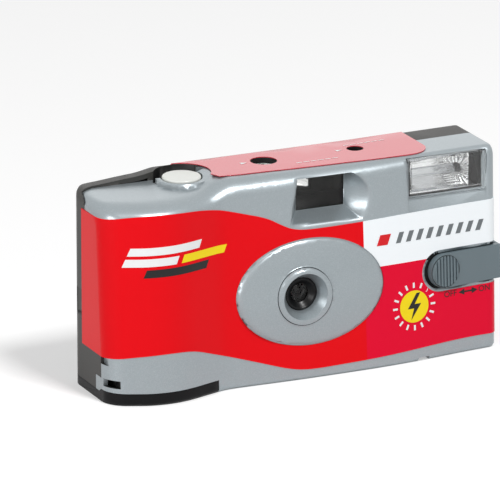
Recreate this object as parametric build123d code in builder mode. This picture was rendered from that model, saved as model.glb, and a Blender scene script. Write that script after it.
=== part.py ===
"""Single-use 35 mm film camera with a built-in flash, as separate pieces.

Frame: X to the right as seen from in front, the front faces -Y, Z up.
The origin is on the base, half way along the body's width.
The film cassette and the thumbwheel are at -X, the flash and the film roll at +X.
"""

import math
import os

from build123d import *

os.makedirs("parts", exist_ok=True)

# Body form, in mm
half_width = 60.3
body_height = 58.4
rear_reach = 17.0
grip_reach = 15.7
wall = 1.4
deck_drop = 2.6
hump_drop = 2.0
edge_round = 4.5
edge_hold = 0.6
front_left_round = 4.2
front_right_round = 2.8
rear_left_round = 6.5
rear_right_round = 1.6
top_left_round = 3.0
top_right_round = 2.0
foot_round = 0.9
rear_round = 0.7
seam_gap = 0.1
fit_gap = 0.3
run_gap = 0.06
face_gap = 0.05
overrun = 30.0

# The front line at the base: share of half_width, share of grip_reach
front_shares = (
    (-1.0, 0.637), (-0.9, 0.822), (-0.817, 0.949), (-0.717, 1.0), (-0.625, 0.955),
    (-0.517, 0.828), (-0.417, 0.723), (-0.3, 0.72), (-0.083, 0.752), (0.133, 0.761),
    (0.333, 0.755), (0.5, 0.725), (0.667, 0.655), (0.833, 0.58), (1.0, 0.525),
)
# How far the front leans back for each unit of height
lean_shares = ((-1.0, 0.082), (0.5, 0.08), (0.75, 0.06), (1.0, 0.04))
# Lowered shutter deck and the hump behind it, as shares of their drops
deck_shares = (
    (-1.0, 1.0), (-0.75, 1.0), (-0.53, 1.0), (-0.467, 0.86), (-0.417, 0.45),
    (-0.375, 0.12), (-0.333, 0.0), (-0.2, 0.0), (0.3, 0.0), (0.7, -0.12), (1.0, -0.2),
)
hump_shares = (
    (-1.0, 1.0), (-0.9, 1.0), (-0.767, 0.66), (-0.66, 0.4), (-0.6, 0.0), (-0.5, 0.0), (0.3, 0.0),
    (0.7, -0.156), (1.0, -0.26),
)
# The soft edge between front and top: reach back and reach down, in shares of edge_round
back_shares = (
    (-1.0, 2.0), (-0.67, 2.0), (-0.47, 1.55), (-0.3, 1.25), (0.17, 1.0), (0.67, 0.7), (1.0, 0.55),
)
down_shares = (
    (-1.0, 0.78), (-0.67, 0.78), (-0.47, 1.0), (-0.3, 1.08), (0.17, 1.0), (0.67, 0.66), (1.0, 0.55),
)
# Stations of the loft: distances in from each end, then shares of half_width between
left_steps = (0.0, 0.3, 1.0, 2.2, 4.0, 6.0, 7.3, 8.6, 10.0)
middle_shares = (
    -0.79, -0.74, -0.69, -0.64, -0.59, -0.54, -0.5, -0.46, -0.42, -0.38, -0.34, -0.29, -0.2,
    -0.08, 0.08, 0.24, 0.4, 0.54, 0.68, 0.8, 0.9,
)
right_steps = (3.2, 2.2, 1.3, 0.6, 0.2, 0.0)


def curve_at(table_shares, share):
    """Value of a smooth curve through the table's points."""
    last = len(table_shares) - 1
    low = 0
    while low < last - 1 and share > table_shares[low + 1][0]:
        low += 1
    x0, y0 = table_shares[low]
    x1, y1 = table_shares[low + 1]
    before = table_shares[max(low - 1, 0)]
    after = table_shares[min(low + 2, last)]
    m0 = (y1 - before[1]) / (x1 - before[0])
    m1 = (after[1] - y0) / (after[0] - x0)
    if y1 == y0:
        m0 = 0.0
        m1 = 0.0
    span = x1 - x0
    t = (share - x0) / span
    return (
        (2 * t**3 - 3 * t**2 + 1) * y0
        + (t**3 - 2 * t**2 + t) * span * m0
        + (3 * t**2 - 2 * t**3) * y1
        + (t**3 - t**2) * span * m1
    )


def front_y(x, z):
    """Y of the front face at a place."""
    share = x / half_width
    return -grip_reach * curve_at(front_shares, share) + curve_at(lean_shares, share) * z


def corner_cut(x, radius, inset, side):
    """How far a rounded end corner stands in from the straight line at x."""
    into = side * x - (half_width - radius)
    inner = radius - inset
    if into <= 0 or inner <= 0:
        return 0.0
    return inner - math.sqrt(max(inner**2 - into**2, 0.0))


def block(low, high):
    """A plain box between two corners."""
    with BuildPart() as box:
        with BuildSketch(Plane.XY.offset(low[2])):
            with BuildLine():
                Polyline(low[:2], (high[0], low[1]), high[:2], (low[0], high[1]), close=True)
            make_face()
        extrude(amount=high[2] - low[2])
    return box.part


def outer_form(inset, drop, drop_shares):
    """The camera's outer form, moved in by inset, with a lowered top at the left."""
    end = half_width - inset
    stations = [-end + step for step in left_steps]
    stations += [share * half_width for share in middle_shares]
    stations += [end - step for step in right_steps]
    slope_step = half_width / 100
    with BuildPart() as form:
        for x in stations:
            share = x / half_width
            slope = (front_y(x + slope_step, 0) - front_y(x - slope_step, 0)) / (2 * slope_step)
            lean = curve_at(lean_shares, share)
            front = front_y(x, 0) + inset * math.sqrt(1 + slope**2)
            front += corner_cut(x, front_left_round, inset, -1)
            front += corner_cut(x, front_right_round, inset, 1)
            rear = rear_reach - inset
            rear -= corner_cut(x, rear_left_round, inset, -1)
            rear -= corner_cut(x, rear_right_round, inset, 1)
            top = body_height - drop * curve_at(drop_shares, share) - inset
            top -= corner_cut(x, top_left_round, inset, -1)
            top -= corner_cut(x, top_right_round, inset, 1)
            back = edge_round * curve_at(back_shares, share)
            down = edge_round * curve_at(down_shares, share)
            shoulder = (front + lean * (top - down), top - down)
            crown = (front + lean * top + back, top)
            bottom = inset
            toe = (front + foot_round, bottom)
            shin = (front + lean * (bottom + foot_round), bottom + foot_round)
            with BuildSketch(Plane(origin=(x, 0, 0), x_dir=(0, 1, 0), z_dir=(1, 0, 0))):
                with BuildLine():
                    Line((rear, bottom - wall), (front + foot_round, bottom - wall))
                    Line((front + foot_round, bottom - wall), toe)
                    Line(toe, shin)
                    Line(shin, shoulder)
                    Bezier(
                        shoulder,
                        (shoulder[0] + lean * down * edge_hold, shoulder[1] + down * edge_hold),
                        (crown[0] - back * edge_hold, top),
                        crown,
                    )
                    Line(crown, (rear - rear_round, top))
                    Line((rear - rear_round, top), (rear, top - rear_round))
                    Line((rear, top - rear_round), (rear, bottom - wall))
                make_face()
        loft()
        # The underside is cut flat
        far = half_width + overrun
        add(block((-far, -overrun, -overrun), (far, overrun, inset)), mode=Mode.SUBTRACT)
    return form.part


def prism(plane, points, amount):
    """An outline drawn on a plane and pulled along its normal."""
    with BuildPart() as body:
        with BuildSketch(plane):
            with BuildLine():
                Polyline(*points, close=True)
            make_face()
        extrude(amount=amount)
    return body.part


def tube(plane, place, outer, inner, amount):
    """A tube along a plane's normal, or a plain rod where inner is zero."""
    with BuildPart() as rod:
        with BuildSketch(plane):
            with Locations(place):
                Circle(outer)
                if inner > 0:
                    Circle(inner, mode=Mode.SUBTRACT)
        extrude(amount=amount)
    return rod.part


def upright(x, y, outer, inner, low, high):
    """An upright tube or rod."""
    return tube(Plane.XY.offset(low), (x, y), outer, inner, high - low)


def along_y(x, z, outer, inner, front, back):
    """A tube or rod from front to back."""
    return tube(Plane.XZ.offset(-back), (x, z), outer, inner, back - front)


def along_x(y, z, outer, inner, left, right):
    """A tube or rod from left to right."""
    return tube(Plane.YZ.offset(left), (y, z), outer, inner, right - left)


# Shutter button and its well
button_x = -30.2
button_y = 8.1
button_radius = 5.5
button_top = 57.6
button_thickness = 2.2
stem_radius = 1.3
well_radius = 8.0
collar_inner = 5.85
collar_outer = 7.3
collar_top = 57.0
shelf_top = 54.1
shelf_thickness = 0.8

# Seam between the front and rear covers
deck_seam_y = 12.8
right_seam_y = 8.0
right_seam_x = 41.0
left_seam_top = 49.0
left_seam_low_y = -4.6
left_seam_y = 6.0
left_seam_reach = 2.6
base_seam_y = 2.0
tab_low = 2.0
tab_high = 6.8
tab_reach_y = -1.0

# Film door under the cassette
door_right_x = -28.0
door_front_height = 3.5
door_side_height = 2.55
door_rear_y = 13.6
door_swing_gap = 0.2
door_floor = 1.3
door_hinge_y = 14.6
door_stub_radius = 0.35
door_stub_length = 1.5
door_knuckle_radius = 0.65
door_knuckle_left = -51.0
door_knuckle_right = -36.0
latch_x = -56.0
latch_width = 2.6
latch_thickness = 1.2
latch_top = 6.9
slot_low = 4.9
slot_high = 7.1
slot_right_x = -57.2
snap_low = 11.0
snap_high = 13.2
snap_depth = 0.9
notch_left = 34.2
notch_width = 3.6
notch_height = 1.1

# Lens seat in the front cover
lens_x = -1.8
lens_z = 24.5
oval_x = 0.9
oval_z = 25.0
oval_half_width = 22.0
oval_half_height = 14.7
oval_edge = 0.5
oval_rise = 2.1
ring_radius = 8.1
ring_proud = 2.9
cone_mouth = 6.7
cone_throat = 4.85
cone_depth = 3.1

# Viewfinder scoop, window and eyepiece
finder_left = 0.2
finder_right = 14.8
finder_low = 46.2
finder_high = 55.9
finder_y = -1.6
scoop_y = -9.0
scoop_wall = 1.0
scoop_left = 5.6
scoop_right = 2.7
scoop_bulge = 6.1
scoop_bulge_rise = 0.8
scoop_drop = 2.9
scoop_rise = 1.3
eyepiece_left = 4.0
eyepiece_right = 10.8
eyepiece_low = 47.8
eyepiece_high = 53.6

# Flash window recess
flash_left = 32.3
flash_right = 57.2
flash_low = 46.5
flash_high = 58.1
flash_y = -5.0
flash_ledge_drop = 3.4
flash_ledge_reach = 2.4
flash_wall = 1.1

# Flash switch groove
switch_x = 48.0
switch_z = 25.1
switch_turn = 7.1
switch_tilt = 3.2
groove_left = 11.4
groove_half_height = 5.2
groove_depth = 0.9
slider_half_height = 4.9
slider_proud = 1.1
slider_travel = 4.5
foot_length = 5.0
foot_height = 3.0

# Holes in the top
counter_hole_x = -5.1
lamp_hole_x = 23.1
top_hole_y = 8.2
counter_hole_radius = 3.75
lamp_hole_radius = 2.35

front_skin = outer_form(0, deck_drop, deck_shares)
front_hollow = outer_form(wall, deck_drop, deck_shares)
rear_skin = outer_form(0, hump_drop, hump_shares)
rear_hollow = outer_form(wall, hump_drop, hump_shares)
inner_room = outer_form(wall + fit_gap, deck_drop, deck_shares)


def front_zone(gap):
    """The space that belongs to the front cover, grown by gap at the seam."""
    far = half_width + overrun
    with BuildPart() as zone:
        with BuildSketch(Plane.XY.offset(left_seam_top - gap)):
            with BuildLine():
                Polyline(
                    (-far, -overrun),
                    (-far, left_seam_y + gap),
                    (-half_width, left_seam_y + gap),
                    (
                        -half_width + left_seam_reach / 2,
                        (left_seam_y + deck_seam_y) / 2 + gap + left_seam_reach / 2,
                    ),
                    (-half_width + 2 * left_seam_reach, deck_seam_y + gap),
                    (right_seam_x + gap, deck_seam_y + gap),
                    (right_seam_x + gap, right_seam_y + gap),
                    (far, right_seam_y + gap),
                    (far, -overrun),
                    close=True,
                )
            make_face()
        extrude(amount=overrun)
        add(
            block(
                (-half_width + left_seam_reach, -overrun, wall), (far, right_seam_y + gap, left_seam_top)
            )
        )
        add(
            block(
                (-far, -overrun, wall),
                (-half_width + left_seam_reach, left_seam_low_y + gap, left_seam_top),
            )
        )
        add(
            block(
                (-far, -overrun, tab_low - gap),
                (-half_width + left_seam_reach, tab_reach_y + gap, tab_high + gap),
            )
        )
        add(block((-far, -overrun, -overrun), (far, base_seam_y + gap, wall)))
    return zone.part


def door_zone(gap):
    """The space that belongs to the film door, grown by gap."""
    far = half_width + overrun
    with BuildPart() as zone:
        with BuildSketch(Plane.YZ.offset(-far)):
            with BuildLine():
                Polyline(
                    (-overrun, -overrun),
                    (-overrun, door_front_height + gap),
                    (left_seam_low_y, door_front_height + gap),
                    (left_seam_low_y + wall, door_side_height + gap),
                    (door_rear_y + gap, door_side_height + gap),
                    (door_rear_y + gap, -overrun),
                    close=True,
                )
            make_face()
        extrude(amount=far + door_right_x + gap)
    return zone.part


def scoop_form(grow):
    """The viewfinder scoop: from the window out to its mouth in the front face."""
    top = finder_high + scoop_rise + grow
    mouth_left = finder_left - scoop_left - grow
    mouth_right = finder_right + scoop_right + grow
    low_right = (mouth_right, finder_low - scoop_drop - grow)
    with BuildPart() as scoop:
        with BuildSketch(Plane.XZ.offset(-finder_y)):
            with BuildLine():
                Polyline(
                    (finder_left - grow, finder_high + grow),
                    (finder_left - grow, finder_low - grow),
                    (finder_right + grow, finder_low - grow),
                    (finder_right + grow, finder_high + grow),
                    close=True,
                )
            make_face()
        with BuildSketch(Plane.XZ.offset(-scoop_y)):
            with BuildLine():
                Polyline(
                    (finder_left - scoop_left / 2 - grow, top), (mouth_left, low_right[1]), low_right
                )
                ThreePointArc(
                    low_right,
                    (finder_right + scoop_bulge + grow, finder_low + scoop_bulge_rise),
                    (finder_right + grow, top),
                )
                Line((finder_right + grow, top), (finder_left - scoop_left / 2 - grow, top))
            make_face()
        loft(ruled=True)
    return scoop.part


def ledge_form(grow):
    """The flash recess: a flat back and a floor that slopes out to the front face."""
    run = 4 * flash_ledge_reach
    fall = 4 * flash_ledge_drop
    points = (
        (flash_y + grow, flash_high + grow),
        (flash_y + grow, flash_low - grow),
        (flash_y - run + grow, flash_low - fall - grow),
        (flash_y - run + grow, flash_high + grow),
    )
    with BuildPart() as ledge:
        with BuildSketch(Plane.YZ.offset(flash_left - grow)):
            with BuildLine():
                Polyline(*points, close=True)
            make_face()
        extrude(amount=flash_right - flash_left + 2 * grow)
    return ledge.part


switch_plane = Plane(
    origin=(switch_x, front_y(switch_x, switch_z), switch_z),
    x_dir=(math.cos(math.radians(switch_turn)), math.sin(math.radians(switch_turn)), 0),
    z_dir=(
        math.sin(math.radians(switch_turn)) * math.cos(math.radians(switch_tilt)),
        -math.cos(math.radians(switch_turn)) * math.cos(math.radians(switch_tilt)),
        math.sin(math.radians(switch_tilt)),
    ),
)


def switch_form(left, half_height, low, high):
    """A strip with a round left end along the switch groove, from depth low to high."""
    reach = half_width + overrun - switch_x
    with BuildPart() as strip:
        with BuildSketch(switch_plane.offset(low)):
            with BuildLine():
                Line((-left + half_height, half_height), (reach, half_height))
                Line((reach, half_height), (reach, -half_height))
                Line((reach, -half_height), (-left + half_height, -half_height))
                ThreePointArc(
                    (-left + half_height, -half_height), (-left, 0), (-left + half_height, half_height)
                )
            make_face()
        extrude(amount=high - low)
    return strip.part


# Pieces that stand in from the front cover's skin: scoop walls, flash walls and groove floor
with BuildPart() as front_bosses:
    add(scoop_form(scoop_wall))
    add(ledge_form(flash_wall))
    add(switch_form(groove_left + wall, groove_half_height + wall, -groove_depth - wall, 0))
    add(front_skin, mode=Mode.INTERSECT)

# Raised oval round the lens, and its ring
face_y = front_y(lens_x, lens_z)
face_tilt = math.degrees(math.atan(curve_at(lean_shares, 0)))
oval_plane = Plane(
    origin=(oval_x, front_y(oval_x, oval_z), oval_z),
    x_dir=(1, 0, 0),
    z_dir=(0, -1, math.tan(math.radians(face_tilt))),
)
dome_radius = (oval_half_width**2 + oval_rise**2) / (2 * oval_rise)
with BuildPart() as round_dome:
    with BuildSketch(Plane.XZ):
        with BuildLine():
            Line((0, -wall), (oval_half_width, -wall))
            Line((oval_half_width, -wall), (oval_half_width, oval_edge))
            RadiusArc((oval_half_width, oval_edge), (0, oval_edge + oval_rise), -dome_radius)
            Line((0, oval_edge + oval_rise), (0, -wall))
        make_face()
    revolve(axis=Axis.Z)
oval_dome = oval_plane.location * scale(round_dome.part, by=(1, oval_half_height / oval_half_width, 1))
with BuildPart() as lens_dome:
    add(oval_dome)
    with BuildSketch(Plane.XZ.offset(-face_y)):
        with Locations((lens_x, lens_z)):
            Circle(ring_radius)
    extrude(amount=ring_proud)


# The part of the space that each cover fills
with BuildPart() as front_share:
    add(front_zone(0))
    add(door_zone(seam_gap), mode=Mode.SUBTRACT)
with BuildPart() as rear_share:
    add(
        block(
            (-half_width - overrun, -overrun, -overrun),
            (half_width + overrun, overrun, body_height + overrun),
        )
    )
    add(front_zone(seam_gap), mode=Mode.SUBTRACT)
    add(door_zone(seam_gap), mode=Mode.SUBTRACT)

# Front cover: the silver moulding with scoop, flash recess, lens oval and shutter deck
collar_end_y = button_y + 2.0
well_floor = shelf_top - shelf_thickness
with BuildPart() as collar:
    add(upright(button_x, button_y, collar_outer, 0, body_height - deck_drop - wall, collar_top))
    add(
        block((button_x - overrun, -overrun, 0), (button_x + overrun, collar_end_y, body_height)),
        mode=Mode.INTERSECT,
    )
with BuildPart() as rear_well:
    add(upright(button_x, button_y, well_radius, 0, well_floor, body_height + overrun))
    add(
        block(
            (button_x - overrun, collar_end_y, 0), (button_x + overrun, overrun, body_height + overrun)
        ),
        mode=Mode.INTERSECT,
    )
with BuildPart() as lens_cone:
    with BuildSketch(Plane.XZ.offset(-face_y + ring_proud)):
        with Locations((lens_x, lens_z)):
            Circle(cone_mouth)
    with BuildSketch(Plane.XZ.offset(-face_y + ring_proud - cone_depth)):
        with Locations((lens_x, lens_z)):
            Circle(cone_throat)
    loft()
    with BuildSketch(Plane.XZ.offset(-face_y + ring_proud - cone_depth)):
        with Locations((lens_x, lens_z)):
            Circle(cone_throat)
    extrude(amount=-overrun / 2)
with BuildPart() as front_cover:
    add(front_skin)
    add(front_hollow, mode=Mode.SUBTRACT)
    add(front_bosses.part)
    add(lens_dome.part)
    add(collar.part)
    add(front_share.part, mode=Mode.INTERSECT)
    add(scoop_form(0), mode=Mode.SUBTRACT)
    add(ledge_form(0), mode=Mode.SUBTRACT)
    add(switch_form(groove_left, groove_half_height, -groove_depth, overrun), mode=Mode.SUBTRACT)
    add(rear_well.part, mode=Mode.SUBTRACT)
    add(
        upright(button_x, button_y, collar_inner, 0, well_floor, body_height + overrun),
        mode=Mode.SUBTRACT,
    )
    add(lens_cone.part, mode=Mode.SUBTRACT)
    # Window of the scoop, window of the flash and the slot for the switch foot
    add(
        block(
            (finder_left, finder_y - wall, finder_low), (finder_right, finder_y + 2 * wall, finder_high)
        ),
        mode=Mode.SUBTRACT,
    )
    add(
        block(
            (flash_left + flash_wall, flash_y - wall, flash_low + flash_wall / 2),
            (flash_right - flash_wall, flash_y + 2 * wall, flash_high - flash_wall / 2),
        ),
        mode=Mode.SUBTRACT,
    )
    with BuildSketch(switch_plane.offset(-groove_depth - 3 * wall)):
        with Locations((-groove_left / 2 + slider_travel / 2, 0)):
            Rectangle(foot_length + slider_travel + 2 * fit_gap, foot_height + 2 * fit_gap)
    extrude(amount=3 * wall, mode=Mode.SUBTRACT)
    # Holes over the counter disc and the ready lamp
    for hole_x, hole_radius in ((counter_hole_x, counter_hole_radius), (lamp_hole_x, lamp_hole_radius)):
        add(
            upright(hole_x, top_hole_y, hole_radius, 0, body_height - 2 * wall, body_height + overrun),
            mode=Mode.SUBTRACT,
        )
    # Latch slot round the corner, snap window and the pry notch at the foot
    add(
        block(
            (-overrun - half_width, -overrun, slot_low),
            (slot_right_x, left_seam_low_y - wall, slot_high),
        ),
        mode=Mode.SUBTRACT,
    )
    add(
        block(
            (-overrun - half_width, -overrun / 2, snap_low),
            (-half_width + snap_depth, left_seam_low_y + wall, snap_high),
        ),
        mode=Mode.SUBTRACT,
    )
    add(
        block(
            (notch_left, -overrun, -overrun), (notch_left + notch_width, -grip_reach / 2, notch_height)
        ),
        mode=Mode.SUBTRACT,
    )
front_cover.part.label = "front_cover"
export_step(front_cover.part, "parts/front_cover.step")

# Rear cover: the dark moulding with the back, the left side, the hump and the eyepiece
wheel_x = -45.0
wheel_y = 2.8
wheel_radius = 12.0
wheel_low = 48.9
wheel_thickness = 2.9
thumb_low = 47.9
thumb_high = 54.5
thumb_y = 12.8
thumb_half_width = 9.5
thumb_flare = 3.5
thumb_wall = 1.1
cut_half_width = 8.6
pad_left = -11.0
pad_right = 17.0
pad_low = 9.0
pad_high = 40.0
film_front_y = 14.5
film_thickness = 0.2
nail_low = 21.0
nail_high = 28.5
nail_depth = 0.8


def thumb_form(grow):
    """The hollow for the thumb in the back, open to the rear."""
    deep_half = thumb_half_width + grow
    mouth_half = thumb_half_width + thumb_flare + grow
    points = (
        (wheel_x - deep_half, thumb_y - grow),
        (wheel_x + deep_half, thumb_y - grow),
        (wheel_x + mouth_half, rear_reach + wall),
        (wheel_x - mouth_half, rear_reach + wall),
    )
    return prism(Plane.XY.offset(thumb_low - grow), points, thumb_high - thumb_low + 2 * grow)


with BuildPart() as rear_bosses:
    add(thumb_form(thumb_wall))
    add(
        block(
            (pad_left, film_front_y + film_thickness + face_gap, pad_low),
            (pad_right, rear_reach - wall / 2, pad_high),
        )
    )
    add(upright(button_x, button_y, well_radius + wall, 0, well_floor, body_height + overrun))
    add(rear_skin, mode=Mode.INTERSECT)
    add(rear_share.part, mode=Mode.INTERSECT)
with BuildPart() as button_shelf:
    with BuildSketch(Plane.XY.offset(well_floor)):
        with Locations((button_x, button_y)):
            Circle(well_radius + wall / 2)
    extrude(amount=shelf_thickness)
with BuildPart() as rear_cover:
    add(rear_skin)
    add(rear_hollow, mode=Mode.SUBTRACT)
    add(rear_share.part, mode=Mode.INTERSECT)
    add(rear_bosses.part)
    add(
        upright(button_x, button_y, well_radius, 0, well_floor - wall, body_height + overrun),
        mode=Mode.SUBTRACT,
    )
    add(button_shelf.part)
    add(
        upright(
            button_x, button_y, stem_radius + 3 * run_gap, 0, well_floor - wall, body_height + overrun
        ),
        mode=Mode.SUBTRACT,
    )
    add(thumb_form(0), mode=Mode.SUBTRACT)
    add(
        block(
            (wheel_x - cut_half_width, thumb_y - 2 * thumb_wall, wheel_low - fit_gap),
            (wheel_x + cut_half_width, rear_reach, wheel_low + wheel_thickness + fit_gap),
        ),
        mode=Mode.SUBTRACT,
    )
    add(
        block(
            (eyepiece_left, rear_reach - 2 * wall, eyepiece_low),
            (eyepiece_right, rear_reach + wall, eyepiece_high),
        ),
        mode=Mode.SUBTRACT,
    )
    # Room for the door's hinge barrel and holes for its stubs
    add(
        block(
            (door_knuckle_left - seam_gap, door_rear_y - wall, -wall),
            (
                door_knuckle_right + seam_gap,
                door_hinge_y + door_knuckle_radius + seam_gap,
                2 * door_knuckle_radius + seam_gap,
            ),
        ),
        mode=Mode.SUBTRACT,
    )
    with BuildSketch(Plane.YZ.offset(door_knuckle_left - door_stub_length - seam_gap)):
        with Locations((door_hinge_y, door_knuckle_radius)):
            Circle(door_stub_radius + run_gap)
    extrude(
        amount=door_knuckle_right - door_knuckle_left + 2 * door_stub_length + 2 * seam_gap,
        mode=Mode.SUBTRACT,
    )
    # Finger nick in the rear left edge
    add(
        block(
            (-half_width - wall, rear_reach - rear_left_round - 2 * wall, nail_low),
            (-half_width + nail_depth, rear_reach - rear_left_round + 2 * wall, nail_high),
        ),
        mode=Mode.SUBTRACT,
    )
rear_cover.part.label = "rear_cover"
export_step(rear_cover.part, "parts/rear_cover.step")

# Film door: the tray under the cassette, hinged at its rear edge, latched at the front corner
latch_y = front_y(latch_x, slot_low) + 2 * wall
with BuildPart() as door_hollow:
    add(front_hollow)
    add(
        block(
            (-half_width, -overrun, door_floor), (door_right_x - wall, door_rear_y - wall, body_height)
        ),
        mode=Mode.INTERSECT,
    )
with BuildPart() as film_door:
    add(front_skin)
    add(door_zone(0), mode=Mode.INTERSECT)
    add(
        block(
            (-half_width - overrun, door_rear_y - door_swing_gap, -overrun),
            (half_width, overrun, body_height),
        ),
        mode=Mode.SUBTRACT,
    )
    add(door_hollow.part, mode=Mode.SUBTRACT)
    add(
        block(
            (latch_x - latch_width / 2, latch_y, door_floor / 2),
            (latch_x + latch_width / 2, latch_y + latch_thickness, latch_top),
        )
    )
    add(
        block(
            (door_knuckle_left, door_rear_y - wall, door_knuckle_radius / 3),
            (door_knuckle_right, door_hinge_y, 2 * door_knuckle_radius - door_knuckle_radius / 3),
        )
    )
    with BuildSketch(Plane.YZ.offset(door_knuckle_left)):
        with Locations((door_hinge_y, door_knuckle_radius)):
            Circle(door_knuckle_radius)
    extrude(amount=door_knuckle_right - door_knuckle_left)
    with BuildSketch(Plane.YZ.offset(door_knuckle_left - door_stub_length)):
        with Locations((door_hinge_y, door_knuckle_radius)):
            Circle(door_stub_radius)
    extrude(amount=door_knuckle_right - door_knuckle_left + 2 * door_stub_length)
film_door.part.label = "film_door"
export_step(film_door.part, "parts/film_door.step")

# Labels: the printed band round the front and ends, the top label and the back label
label_thickness = 0.2
band_rear_y = 8.0
top_label_low = 57.2
band_top_shares = (
    (-1.03, 0.886), (-0.898, 0.908), (-0.69, 0.911), (-0.547, 0.899), (-0.406, 0.872), (-0.286, 0.837),
    (-0.178, 0.8), (
        -0.075, 0.745
    ), (0.053, 0.728), (0.21, 0.729), (0.44, 0.735), (0.77, 0.741), (1.03, 0.744),
)
band_base_shares = (
    (1.03, 0.072), (0.57, 0.067), (0.364, 0.057), (0.103, 0.05), (-0.057, 0.056), (-0.21, 0.1),
    (
        -0.32, 0.137
    ), (-0.43, 0.174), (-0.52, 0.208), (-0.6, 0.235), (-0.71, 0.247), (-0.9, 0.237), (-1.03, 0.221),
)
top_label_front_shares = (
    (-0.37, -0.01), (-0.28, -0.05), (-0.176, -0.07), (0.02, -0.12), (0.24, -0.16), (0.42, -0.2),
    (0.55, -0.225),
)
top_label_end_x = 41.7
top_label_corner = 6.5
label_margin = 0.5
switch_margin = 0.8
arc_middle = 1 - math.sqrt(0.5)
back_label_left = -34.0
back_label_right = 52.0
back_label_low = 5.0
back_label_high = 44.0

with BuildPart() as band_outline:
    with BuildSketch(Plane.XZ.offset(-band_rear_y)):
        with BuildLine():
            top_points = [(x * half_width, z * body_height) for x, z in band_top_shares]
            base_points = [(x * half_width, z * body_height) for x, z in band_base_shares]
            Spline(*top_points)
            Line(top_points[-1], base_points[0])
            Spline(*base_points)
            Line(base_points[-1], top_points[0])
        make_face()
        with Locations((oval_x, oval_z)):
            Ellipse(oval_half_width + label_margin, oval_half_height + label_margin, mode=Mode.SUBTRACT)
    extrude(amount=band_rear_y + overrun)
    add(
        switch_form(
            groove_left + switch_margin, groove_half_height + switch_margin, -overrun / 3, overrun / 3
        ),
        mode=Mode.SUBTRACT,
    )
label_skin = outer_form(-label_thickness, deck_drop, deck_shares)
with BuildPart() as front_label:
    add(label_skin)
    add(front_skin, mode=Mode.SUBTRACT)
    add(band_outline.part, mode=Mode.INTERSECT)
front_label.part.label = "front_label"
export_step(front_label.part, "parts/front_label.step")

with BuildPart() as top_outline:
    with BuildSketch(Plane.XY.offset(top_label_low)):
        with BuildLine():
            edge_points = [(x * half_width, y * rear_reach) for x, y in top_label_front_shares]
            Spline(*edge_points)
            Line(edge_points[-1], (top_label_end_x - top_label_corner, edge_points[-1][1]))
            ThreePointArc(
                (top_label_end_x - top_label_corner, edge_points[-1][1]),
                (
                    top_label_end_x - top_label_corner * arc_middle,
                    edge_points[-1][1] + top_label_corner * arc_middle,
                ),
                (top_label_end_x, edge_points[-1][1] + top_label_corner),
            )
            Line(
                (top_label_end_x, edge_points[-1][1] + top_label_corner),
                (top_label_end_x, rear_reach + wall),
            )
            Line((top_label_end_x, rear_reach + wall), (button_x, rear_reach + wall))
            Line((button_x, rear_reach + wall), edge_points[0])
        make_face()
        with Locations((button_x, button_y)):
            Circle(well_radius + label_margin / 2, mode=Mode.SUBTRACT)
        for hole_x, hole_radius in (
            (counter_hole_x, counter_hole_radius), (lamp_hole_x, lamp_hole_radius)
        ):
            with Locations((hole_x, top_hole_y)):
                Circle(hole_radius + face_gap, mode=Mode.SUBTRACT)
    extrude(amount=overrun)
with BuildPart() as top_label:
    add(outer_form(-label_thickness - face_gap, hump_drop, hump_shares))
    add(outer_form(-face_gap, hump_drop, hump_shares), mode=Mode.SUBTRACT)
    add(top_outline.part, mode=Mode.INTERSECT)
top_label.part.label = "top_label"
export_step(top_label.part, "parts/top_label.step")

back_label_holder = block(
    (back_label_left, rear_reach, back_label_low),
    (back_label_right, rear_reach + label_thickness, back_label_high),
)
with BuildPart() as back_label:
    add(back_label_holder)
back_label.part.label = "back_label"
export_step(back_label.part, "parts/back_label.step")


# Film, cassette and roll
film_low = 7.0
film_height = 35.0
film_top = film_low + film_height
cassette_radius = 12.5
cassette_low = 2.6
cassette_height = 43.8
cassette_top = cassette_low + cassette_height
cassette_wall = 0.5
cassette_cap = 1.0
hub_radius = 5.4
hub_low = 2.0
hub_top = 48.6
hub_bore = 3.6
spool_core_radius = 5.5
spool_flange_radius = 11.6
spool_flange = 1.0
fork_radius = 3.3
fork_depth = 1.9
fork_slot = 1.6
mouth_x = -37.5
mouth_y = 12.6
mouth_half = 1.0
mouth_slot_half = 0.3
mouth_back = 1.0
mouth_reach = 3.2
film_left = -30.0
film_right = 34.0
roll_x = 46.0
roll_y = 5.5
roll_radius = 7.75
roll_core_radius = 2.6
roll_pivot_radius = 1.5
roll_pivot_depth = 0.9
perforation_pitch = 4.75
perforation_length = 2.0
perforation_height = 2.8
perforation_edge = 2.0
perforation_count = 13

# Chassis
chassis_wall = 1.0
chamber_radius = 13.0
roll_chamber_radius = 8.7
guide_y = 12.9
guide_left = -31.4
guide_right = 37.0
gate_width = 36.6
gate_height = 24.2
box_wall = 0.8
box_front_y = -4.6
box_front_wall = 1.0
box_front_half = 4.5
box_front_rim = 1.6
deck_low = 44.2
mid_deck_front_y = 0.2
deck_thickness = 1.2
deck_top = deck_low + deck_thickness
left_deck_low = 46.8
left_deck_top = left_deck_low + deck_thickness
left_deck_right = -22.0
rail_width = 1.0
wheel_seat_outer = 8.0
wheel_seat_inner = 6.6

# Battery and its contacts
battery_x = 3.75
battery_y = -1.7
battery_z = 9.0
battery_radius = 7.25
battery_length = 49.2
battery_nub_radius = 2.75
battery_nub = 1.0
battery_left = battery_x - battery_length / 2
battery_right = battery_x + battery_length / 2
bulkhead = 1.0
bulkhead_gap = 1.2
contact_thickness = 0.4
contact_width = 9.0
contact_height = 11.0
contact_bulge_radius = 2.6

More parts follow.
